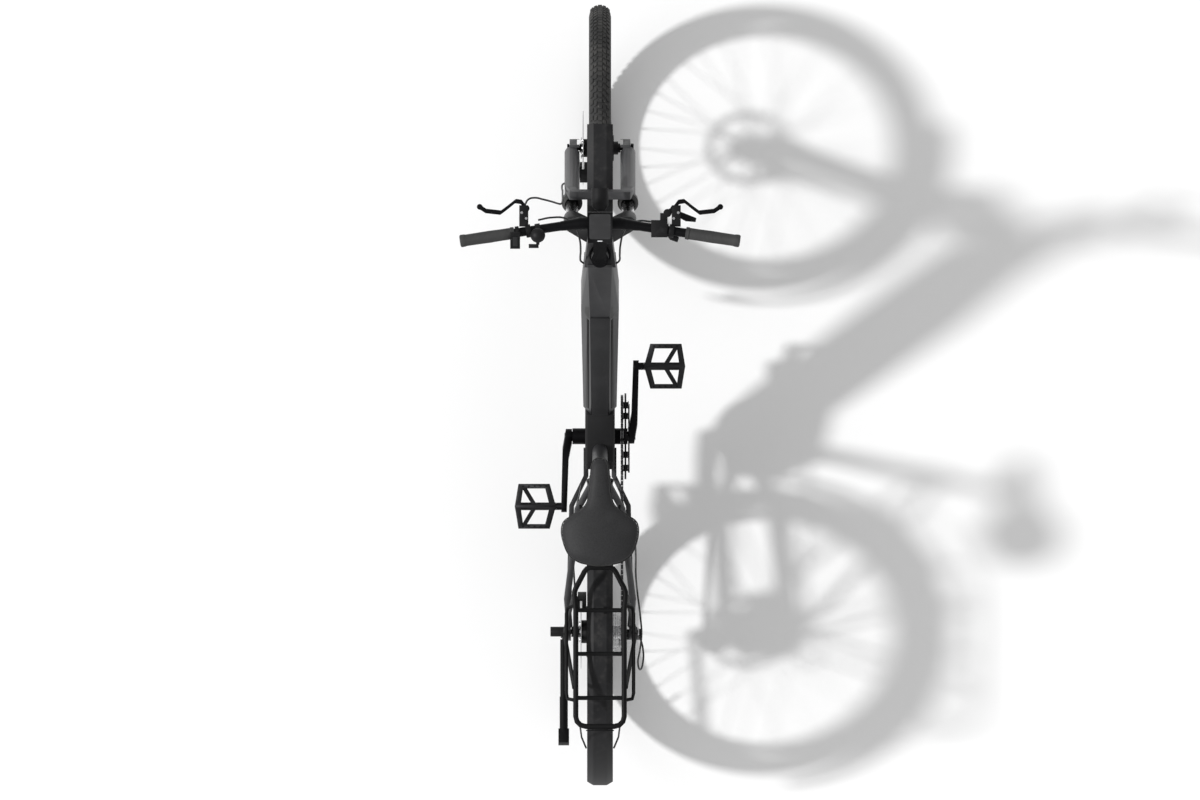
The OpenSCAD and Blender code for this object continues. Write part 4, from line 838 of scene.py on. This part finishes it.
places = ([], [])
for k, (a, b) in enumerate(zip(pins, pins[1:] + pins[:1])):
    tilt = math.atan2(b[1] - a[1], b[0] - a[0])
    places[k % 2].append(Matrix.Translation((chain_x, (a[0] + b[0]) / 2, (a[1] + b[1]) / 2)) @ Matrix.Rotation(tilt,
        4, "X"))
outer = copies(link("outer_link", 0.0026, False), "outer_links", places[0])
inner = copies(link("inner_link", 0.0016, True), "inner_links", places[1])
finishes["chain_black"] = brushed("chain_black", (0.05, 0.05, 0.052), 0.3, (4, 1, 1), 120)
close(outer, "chain_steel", "frame", "chain", angle=30, slot="chain_steel")
close(inner, "chain_black", "frame", angle=30, slot="chain_steel")
print("chain links", len(outer.data.polygons) + len(inner.data.polygons), "faces")

# %% [markdown]
# The hoses and cable housings are held at both ends, so they are not free cords. Each is a smooth round tube
# through its route. Those that run from the handlebar are left where they are, fixed to no body.

# %% Hoses and housings
bar_y, bar_z = 0.41915, 1.0132

def route(points, sign=1):
    return [(x * sign / 1000, y / 1000, z / 1000) for x, y, z in points]

def from_bar(points):
    return [(x / 1000, bar_y + y / 1000, bar_z + z / 1000) for x, y, z in points]

left_loom = from_bar([(-150, 8, -22), (-118, 14, -26), (-84, 12, -30), (-62, -4, -38), (-50, -36, -58), (-47, -66, -88),
    (-48, -84, -116), (-46, -92, -138), (-39.6, -97, -148)])
right_loom = from_bar([(124, 4, -19), (96, 6, -26), (72, -2, -32), (58, -20, -46), (50, -50, -72), (48, -76, -102),
    (48, -88, -126), (45, -93, -141), (39.6, -97, -148)])
fork_hose = from_bar([(-182, 45.6, 4), (-174, 58, 4), (-158, 62, 0), (-138, 58, -8), (-118, 53, -26), (-102, 48, -62),
    (-94, 48, -130), (-91, 56, -220), (-91, 70, -300), (-91, 80, -350), (-92, 82, -390), (-92, 92, -450), (-86, 97,
        -510),
    (-74, 100, -556), (-60, 104, -584), (-52, 108.6, -591.6)])
shift_line = route([(96.5, -584, 314), (104, -612, 310), (104, -648, 330), (97, -664, 356), (92, -646, 376), (97,
    -616, 380),
    (101, -576, 368), (98, -536, 354), (88, -452, 342), (82, -337.7, 334), (58, -269.7, 338), (44, -207.7, 340)])
brake_line = route([(-58, -512, 417.2), (-62, -452, 398), (-66, -352, 364), (-60, -287.7, 340), (-46, -217.7, 342)])

def housing_skin():
    f = Finish("housing_skin")
    slow = f.noise(40, 3)
    tone = f.mix(slow.ramp(0.4, 0.8) * 0.4, (0.008, 0.008, 0.0085), (0.022, 0.022, 0.023))
    return f.surface(Base_Color=tone, Roughness=0.34 + slow * 0.16, Normal=f.bump(f.noise(700, 2), 0.00002, 0.4))
finishes["housing_skin"] = housing_skin()

def hose(name, points, radius, body, *nodes, bend=None):
    made = tube(name, points, radius, steps=10, sides=3)
    made.name = name
    if bend:
        only(made)
        bpy.ops.object.shade_smooth_by_angle(angle=math.radians(60))
        wear(made, "housing_skin")
        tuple(bend[2])
        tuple(bend[3])
        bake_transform(made)
        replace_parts(made, *nodes) if nodes else None
    else:
        close(made, "housing_skin", body, *nodes, angle=60, slot="cable_skin")
    return made

for name, line, node in (("left_loom", left_loom, ["bar_cables"]), ("right_loom", right_loom, [])):
    hose(name, line, 0.0024, "steering", *node, bend=("frame", "steering", line[-1], line[3]))
hose("fork_hose", fork_hose, 0.0024, "steering", bend=("steering", "fork_slider", fork_hose[5], fork_hose[-3]))
hose("shift_line", shift_line, 0.0023, "frame", "rear_cables")
hose("rear_brake_line", brake_line, 0.0023, "frame")
print("hoses done")

# %% [markdown]
# The suspension fork has bright hard-chromed inner legs and painted outer legs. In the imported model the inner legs
# are one part with the crown, so the finish changes below the crown, measured along the fork's own slope.
# The rest of the parts that show curved edges get small rounds as well.

# %% Crown, chrome legs and other rounds
def crown_and_chrome():
    f = Finish("crown_and_chrome")
    x, y, z = f.xyz()
    slope = math.radians(21)
    height = (z - front_centre[2]) * math.cos(slope) - (y - front_centre[1]) * math.sin(slope)
    chrome = height.below(0.4545)
    marks = f.noise(90, 4, f.place((1, 1, 30)))
    pits = f.node("TexVoronoi", None, Vector=f.place(), Scale=1300.0)
    tone = f.mix(chrome, f.mix(marks * 0.5, (0.008, 0.008, 0.009), (0.016, 0.016, 0.017)), (0.62, 0.62, 0.63))
    return f.surface(Base_Color=tone, Metallic=chrome * 0.95 + 0.05, Roughness=0.42 - chrome * 0.3 + marks * 0.08,
        Normal=f.bump(pits * (1 - chrome), 0.00006, 0.5))
finishes["crown_and_chrome"] = crown_and_chrome()

for node, width, finish in (("fork_crown", 0.0022, "crown_and_chrome"), ("fork_lowers", 0.0020, "fork_paint"),
        ("rear_rack", 0.0006, "rack_coat"), ("chainring", 0.0005, "black_alloy"), ("cassette", 0.0002, "cog_nickel"),
        ("derailleur", 0.0010, "black_cast"), ("front_hub", 0.0008, "black_cast"), ("rear_hub", 0.0012, "motor_case"),
        ("front_disc", 0.0002, "front_turned"), ("rear_disc", 0.0002, "rear_turned"), ("front_axle", 0.0010,
            "black_alloy"),
        ("rear_axle", 0.0014, "axle_black"), ("bell", 0.0006, "black_cast"), ("front_rim", 0.0008, "rim_black"),
        ("rear_rim", 0.0008, "rim_black"), ("seatpost", 0.0008, "post_alloy")):
    if finish == "axle_black":
        finishes["axle_black"] = moulded("axle_black", (0.006, 0.006, 0.0065), 0.5)
    made = softened(node, width, finish, segments=1 if node in ("cassette", "chainring", "front_disc",
        "rear_disc") else 2)
    print(node, len(made.data.polygons), "faces")

# %% [markdown]
# A rubber wiper seal with a raised lip closes the top of each outer leg, where the chromed leg slides in.
# It is an outline spun round the leg's axis, and it rides with the outer legs.

# %% Fork seals
slope = math.radians(21)
leg_x, leg_y = 0.0678, -0.008
def at_fork(x, y, z):
    """A point given in the fork's own tilted axes, from the front axle."""
    return Vector((x, front_centre[1] + y * math.cos(slope) - z * math.sin(slope),
        front_centre[2] + y * math.sin(slope) + z * math.cos(slope)))
fork_turn = Matrix.Rotation(slope, 4, "X")
upright = Matrix.Rotation(math.radians(-90), 4, "Y")

seal_outline = [(0.000, 0.0246), (0.002, 0.0252), (0.006, 0.0252), (0.0075, 0.0236), (0.0085, 0.0236), (0.010, 0.0226),
    (0.0135, 0.0200), (0.0145, 0.0172), (0.0120, 0.0166), (0.000, 0.0166)]
for name, side in (("left_seal", -1), ("right_seal", 1)):
    seal = spun(name, seal_outline, (0, 0, 0), 48, True)
    seal.matrix_world = Matrix.Translation(at_fork(side * leg_x, leg_y, 0.3475)) @ fork_turn @ upright
    close(seal, "soft_rubber", "fork_slider", angle=30)
print("seals at", tuple(round(c, 3) for c in at_fork(leg_x, leg_y, 0.3475)))

# %% [markdown]
# The adjusting knobs on top of the crown show as round caps on each leg. They are low turned caps with
# a grip of small notches, made by insetting and lowering every other face of the rim.

# %% Crown caps
def knob(name, radius, height, notches):
    cap = start("cylinder", name, vertices=notches * 2, radius=radius, depth=height, location=(0, 0, height / 2))
    only(cap)
    bpy.ops.object.transform_apply(location=True)
    rim = [f.index for f in cap.data.polygons if abs(f.normal.z) < 0.1]
    rim.sort(key=lambda i: math.atan2(cap.data.polygons[i].center.y, cap.data.polygons[i].center.x))
    chosen = set(rim[::2])
    pick(cap, lambda c, n: False)
    for i in chosen:
        cap.data.polygons[i].select = True
    def notch():
        bpy.ops.mesh.select_mode(type="FACE")
        bpy.ops.mesh.inset(thickness=radius * 0.03, depth=-radius * 0.05, use_individual=True)
    edit(cap, notch)
    pick(cap, lambda c, n: n.z > 0.9)
    def crown():
        bpy.ops.mesh.inset(thickness=radius * 0.12, depth=height * 0.12)
        bpy.ops.mesh.inset(thickness=radius * 0.5, depth=0)
        bpy.ops.mesh.inset(thickness=radius * 0.02, depth=-height * 0.2)
    edit(cap, crown)
    return bevelled(cap, radius * 0.03, 1)

for name, side in (("left_cap", -1), ("right_cap", 1)):
    cap = knob(name, 0.0150, 0.0055, 18)
    cap.matrix_world = Matrix.Translation(at_fork(side * leg_x, leg_y, 0.4965)) @ fork_turn
    close(cap, "black_alloy", "steering", angle=30)
print("crown caps fitted")

# %% [markdown]
# Grips: a soft rubber sleeve between two collars, with a closed rounded end.
# Fine ribs run round the sleeve. They are in the finish, as a wave along the bar's own direction that ripples the
# surface, with painted shade: darker in the troughs and lighter on the crests.

# %% Grips
def ribbed_rubber():
    f = Finish("ribbed_rubber")
    x, y, z = f.xyz()
    along_bar = x.size() * 0.9883 - y * 0.1479 + z * 0.0346
    ribs = (along_bar * (6.2832 / 0.0032)).sine() * 0.5 + 0.5
    pads = (along_bar * (6.2832 / 0.038)).sine().ramp(-0.6, -0.2)
    slow = f.noise(30, 3)
    # Painted shade: the colour follows the rib wave, darker in the troughs and lighter on the crests.
    tone = f.mix(ribs * 0.5, (0.018, 0.018, 0.018), (0.036, 0.036, 0.036))
    tone = f.mix(slow.ramp(0.4, 0.8) * 0.4, tone, (0.045, 0.044, 0.043))
    return f.surface(Base_Color=tone, Roughness=0.66 + slow * 0.15,
        Normal=f.bump(ribs * pads + f.noise(1200, 2) * 0.15, 0.0005, 0.7))
finishes["ribbed_rubber"] = ribbed_rubber()

bar_end = Vector((0.340, bar_y - 0.29 * 0.1496, bar_z + 0.29 * 0.035))
bar_dir = Vector((1, -0.1496, 0.035)).normalized()
sleeve_len = 0.1335
grip_outline = [(0, 0.0114), (0, 0.0145), (0.0006, 0.0152), (0.0085, 0.0152), (0.0092, 0.0145), (0.0096, 0.0138),
    (0.012, 0.0142),
    (0.030, 0.0140), (0.060, 0.0147), (0.090, 0.0143), (0.118, 0.0141), (0.1215, 0.0150), (0.1290, 0.0154), (0.1320,
        0.0146),
    (0.1334, 0.0120), (0.1337, 0.0060), (0.1337, 0.0)]
for side, node in ((1, "right_grip"), (-1, "left_grip")):
    grip = spun(node + "_sleeve", [(x, r) for x, r in grip_outline], (0, 0, 0), 64)
    origin = bar_end - bar_dir * sleeve_len
    place = Matrix.Translation(origin) @ bar_dir.to_track_quat("X", "Z").to_matrix().to_4x4()
    grip.data.transform(place)
    if side < 0:
        grip.data.transform(Matrix.Scale(-1, 4, (1, 0, 0)))
    tidy_normals(grip, 0.00002)
    close(grip, "ribbed_rubber", "steering", node, angle=40, slot="grip_rubber")
print("grips", round(sleeve_len, 4), "m long")

# %% [markdown]
# The display is a smooth dark glass set into its case, with one short pale light bar at its rear edge.
# Both are thin plates with rounded corners, tilted with the case.

# %% Display glass
display_centre = Vector((0, bar_y - 0.010, bar_z + 0.033))
tilt = Matrix.Rotation(math.radians(9), 4, "X")

def thin_plate(name, wide, long, thick, corner, place):
    sheet = start("cube", name, size=1, scale=(wide, long, thick))
    only(sheet)
    bpy.ops.object.transform_apply(scale=True)
    mesh = sheet.data
    for e in mesh.edges:
        a, b = (mesh.vertices[i].co for i in e.vertices)
        e.select = abs(a.z - b.z) > thick * 0.5
    for v in mesh.vertices: v.select = False
    for p in mesh.polygons: p.select = False
    only(sheet)
    bpy.ops.object.mode_set(mode="EDIT")
    bpy.ops.mesh.select_mode(type="EDGE")
    bpy.ops.object.mode_set(mode="OBJECT")
    for e in mesh.edges:
        a, b = (mesh.vertices[i].co for i in e.vertices)
        e.select = abs(a.z - b.z) > thick * 0.5
    edit(sheet, lambda: bpy.ops.mesh.bevel(offset=corner, segments=6, affect="EDGES"))
    bevelled(sheet, min(thick * 0.3, 0.0006), 2)
    sheet.matrix_world = place
    return sheet

def dark_glass():
    f = Finish("dark_glass")
    x, y, z = f.xyz()
    smear = f.noise(45, 4).ramp(0.4, 0.75)
    return f.surface(Base_Color=f.mix(smear * 0.5, (0.010, 0.010, 0.011), (0.020, 0.020, 0.022)),
        Roughness=0.16 + smear * 0.14, Coat_Weight=0.5, Coat_Roughness=0.08)
def pale_lamp():
    f = Finish("pale_lamp")
    glow = f.noise(300, 2)
    return f.surface(Base_Color=f.mix(glow * 0.3, (0.75, 0.76, 0.78), (0.6, 0.6, 0.62)), Roughness=0.3 + glow * 0.1,
        Coat_Weight=0.3)
finishes["dark_glass"], finishes["pale_lamp"] = dark_glass(), pale_lamp()

glass = thin_plate("display_glass", 0.052, 0.062, 0.0010, 0.005,
    Matrix.Translation(display_centre) @ tilt @ Matrix.Translation((0, 0.003, 0.0070)))
close(glass, "dark_glass", "steering")
bar = thin_plate("display_light", 0.012, 0.0022, 0.0008, 0.0009,
    Matrix.Translation(display_centre) @ tilt @ Matrix.Translation((0, -0.0325, 0.0071)))
close(bar, "pale_lamp", "steering")
print("display glass fitted")

# %% [markdown]
# The headlight's lens is a domed disc with fine vertical flutes that spread the beam.
# The dome is a spun outline, and the flutes are in its finish, which also paints glints as lighter and darker bands
# along the flutes and across them.

# %% Headlight lens
def fluted_lens():
    f = Finish("fluted_lens")
    x, y, z = f.xyz()
    flutes = (x * (6.2832 / 0.0030)).sine() * 0.5 + 0.5
    rings = ((z - 0.83) * (6.2832 / 0.0042)).sine() * 0.5 + 0.5
    # Painted glints: the lens colour is lighter and darker along the flutes and in level bands across them.
    return f.surface(Base_Color=f.mix(flutes * 0.5 + rings * 0.3, (0.55, 0.57, 0.6), (0.82, 0.83, 0.85)),
        Roughness=0.08 + flutes * 0.08,
        Coat_Weight=0.8, Coat_Roughness=0.03, Normal=f.bump(flutes + rings * 0.4, 0.0004, 0.6))
finishes["fluted_lens"] = fluted_lens()
lamp_high = Vector(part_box("headlight")[1])
lamp_z = (lamp_high.z - 0.0205)
lens_piece = spun("headlight_lens", [(0.0000, 0.0172), (0.0012, 0.0170), (0.0020, 0.0140), (0.0026, 0.0090),
    (0.0028, 0.0)], (0, 0, 0), 48)
lens_piece.matrix_world = Matrix.Translation((0, lamp_high.y - 0.0032, lamp_z)) @ Matrix.Rotation(math.radians(90),
    4, "Z")
close(lens_piece, "fluted_lens", "steering", angle=60)
print("lens at", round(lamp_high.y, 4))

# %% [markdown]
# Screws hold everything together. A socket-head screw is a short cylinder whose top face is inset,
# then inset again and pushed down into a socket. It is modelled once for each size and copied.

# %% Screws
def screw(name, radius, height):
    head = start("cylinder", name, vertices=24, radius=radius, depth=height, location=(0, 0, height / 2))
    only(head)
    bpy.ops.object.transform_apply(location=True)
    pick(head, lambda c, n: n.z > 0.9)
    def socket():
        bpy.ops.mesh.inset(thickness=radius * 0.12, depth=height * 0.05)
        bpy.ops.mesh.inset(thickness=radius * 0.36, depth=0)
        bpy.ops.mesh.inset(thickness=radius * 0.02, depth=-height * 0.5)
    edit(head, socket)
    return bevelled(head, radius * 0.06, 1)

def looking(place, direction):
    return Matrix.Translation(place) @ Vector(direction).to_track_quat("Z", "Y").to_matrix().to_4x4()

def screws(name, radius, height, body, spots, finish="steel"):
    return close(copies(screw(name + "_head", radius, height), name, [looking(p, d) for p, d in spots]), finish,
        body, angle=30)

def ring_of(centre, x, radius, count, turn=0.0):
    spots = []
    for k in range(count):
        a = 2 * math.pi * k / count + turn
        spots.append(((x, centre[1] + radius * math.cos(a), centre[2] + radius * math.sin(a)), (1 if x > 0 else -1,
            0, 0)))
    return spots

bb_centre = (0, ring_middle[1], ring_middle[2])
ring_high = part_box("chainring")[1]
screws("ring_bolts", 0.0055, 0.0022, "cranks", ring_of(bb_centre, ring_high[0] - 0.0004, 0.0801, 5, math.radians(70)))
screws("front_rotor_bolts", 0.0042, 0.0016, "front_wheel", ring_of(front_centre,
    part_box("front_disc")[0][0] - 0.0001, 0.022, 6))
screws("rear_rotor_bolts", 0.0042, 0.0016, "rear_wheel", ring_of(rear_centre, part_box("rear_disc")[0][0] - 0.0001,
    0.022, 6))
arm = 0.068
screws("crank_bolts", 0.0085, 0.0035, "cranks", [((arm + 0.0145, bb_centre[1], bb_centre[2]), (1, 0, 0)),
    ((-arm - 0.0145, bb_centre[1], bb_centre[2]), (-1, 0, 0))], "black_alloy")
for name, side in (("left_master_bolts", -1), ("right_master_bolts", 1)):
    screws(name, 0.0032, 0.0024, "steering", [((side * 0.179, bar_y + 0.012, bar_z + 0.0078), (0, 0, 1)),
        ((side * 0.190, bar_y + 0.026, bar_z + 0.0078), (0, 0, 1))])
screws("stem_bolts", 0.0036, 0.003, "steering", [((s * 0.013, bar_y + 0.0155, bar_z + z), (0, 0.9,
    0.3 if z > 0 else -0.3)) for s in (1, -1) for z in (0.011, -0.011)])
screws("axle_nuts", 0.0088, 0.0045, "frame", [((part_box("rear_axle")[1][0] - 0.0005, rear_centre[1], rear_centre[2]),
    (1, 0, 0))], "steel")
print("screws fitted")

# %% [markdown]
# Welds: a hand-laid bead of overlapping drops runs round each tube joint. One ring of small rounded ridges is
# modelled as a twisted torus section and placed where the seat tube leaves the motor housing.

# %% Weld beads
seat_dir = Vector((0, -0.2385, 0.9711))
def weld(name, place, direction, radius, body, count=46, fat=0.0026):
    outline = [(fat * math.cos(t), radius + fat * 0.55 * math.sin(t)) for t in [2 * math.pi * k / 8 for k in range(8)]]
    bead = spun(name, outline, (0, 0, 0), count * 4, True)
    for v in bead.data.vertices:
        a = math.atan2(v.co.y, v.co.z) * count
        r = math.hypot(v.co.y, v.co.z)
        swell = 1 + (0.18 * math.cos(a)) * (r - radius + fat) / radius
        v.co.y, v.co.z = v.co.y * swell, v.co.z * swell
        v.co.x += fat * 0.3 * math.sin(a)
    bead.matrix_world = Matrix.Translation(place) @ Vector(direction).to_track_quat("X", "Z").to_matrix().to_4x4()
    return close(bead, "frame_paint", body, angle=80)
crank_point = Vector((0, ring_middle[1], ring_middle[2]))
weld("seat_tube_weld", crank_point + seat_dir * 0.118, seat_dir, 0.0192, "frame")
print("welds laid")

# %% [markdown]
# Pedals carry small steel pins that hold the shoe. They are copied along the cage bars, both faces up.

# %% Pedal pins
pedal_low, pedal_high = map(Vector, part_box("right_pedal"))
pedal_mid = (pedal_low + pedal_high) / 2
def pins_on(side, body, centre):
    spots = []
    for y in (-0.0488, 0.0488):
        for x in (0.024, 0.038, 0.052, 0.066, 0.080):
            for up in (1, -1):
                spots.append(((side * (pedal_low.x + x), centre.y + y, centre.z + up * 0.0088), (0, 0, up)))
    return screws(body + "_pins", 0.0017, 0.0018, body, spots, "black_alloy")
pins_on(1, "right_pedal_body", pedal_mid)
left_low, left_high = map(Vector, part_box("left_pedal"))
pins_on(-1, "left_pedal_body", (left_low + left_high) / 2)
print("pedal pins fitted")
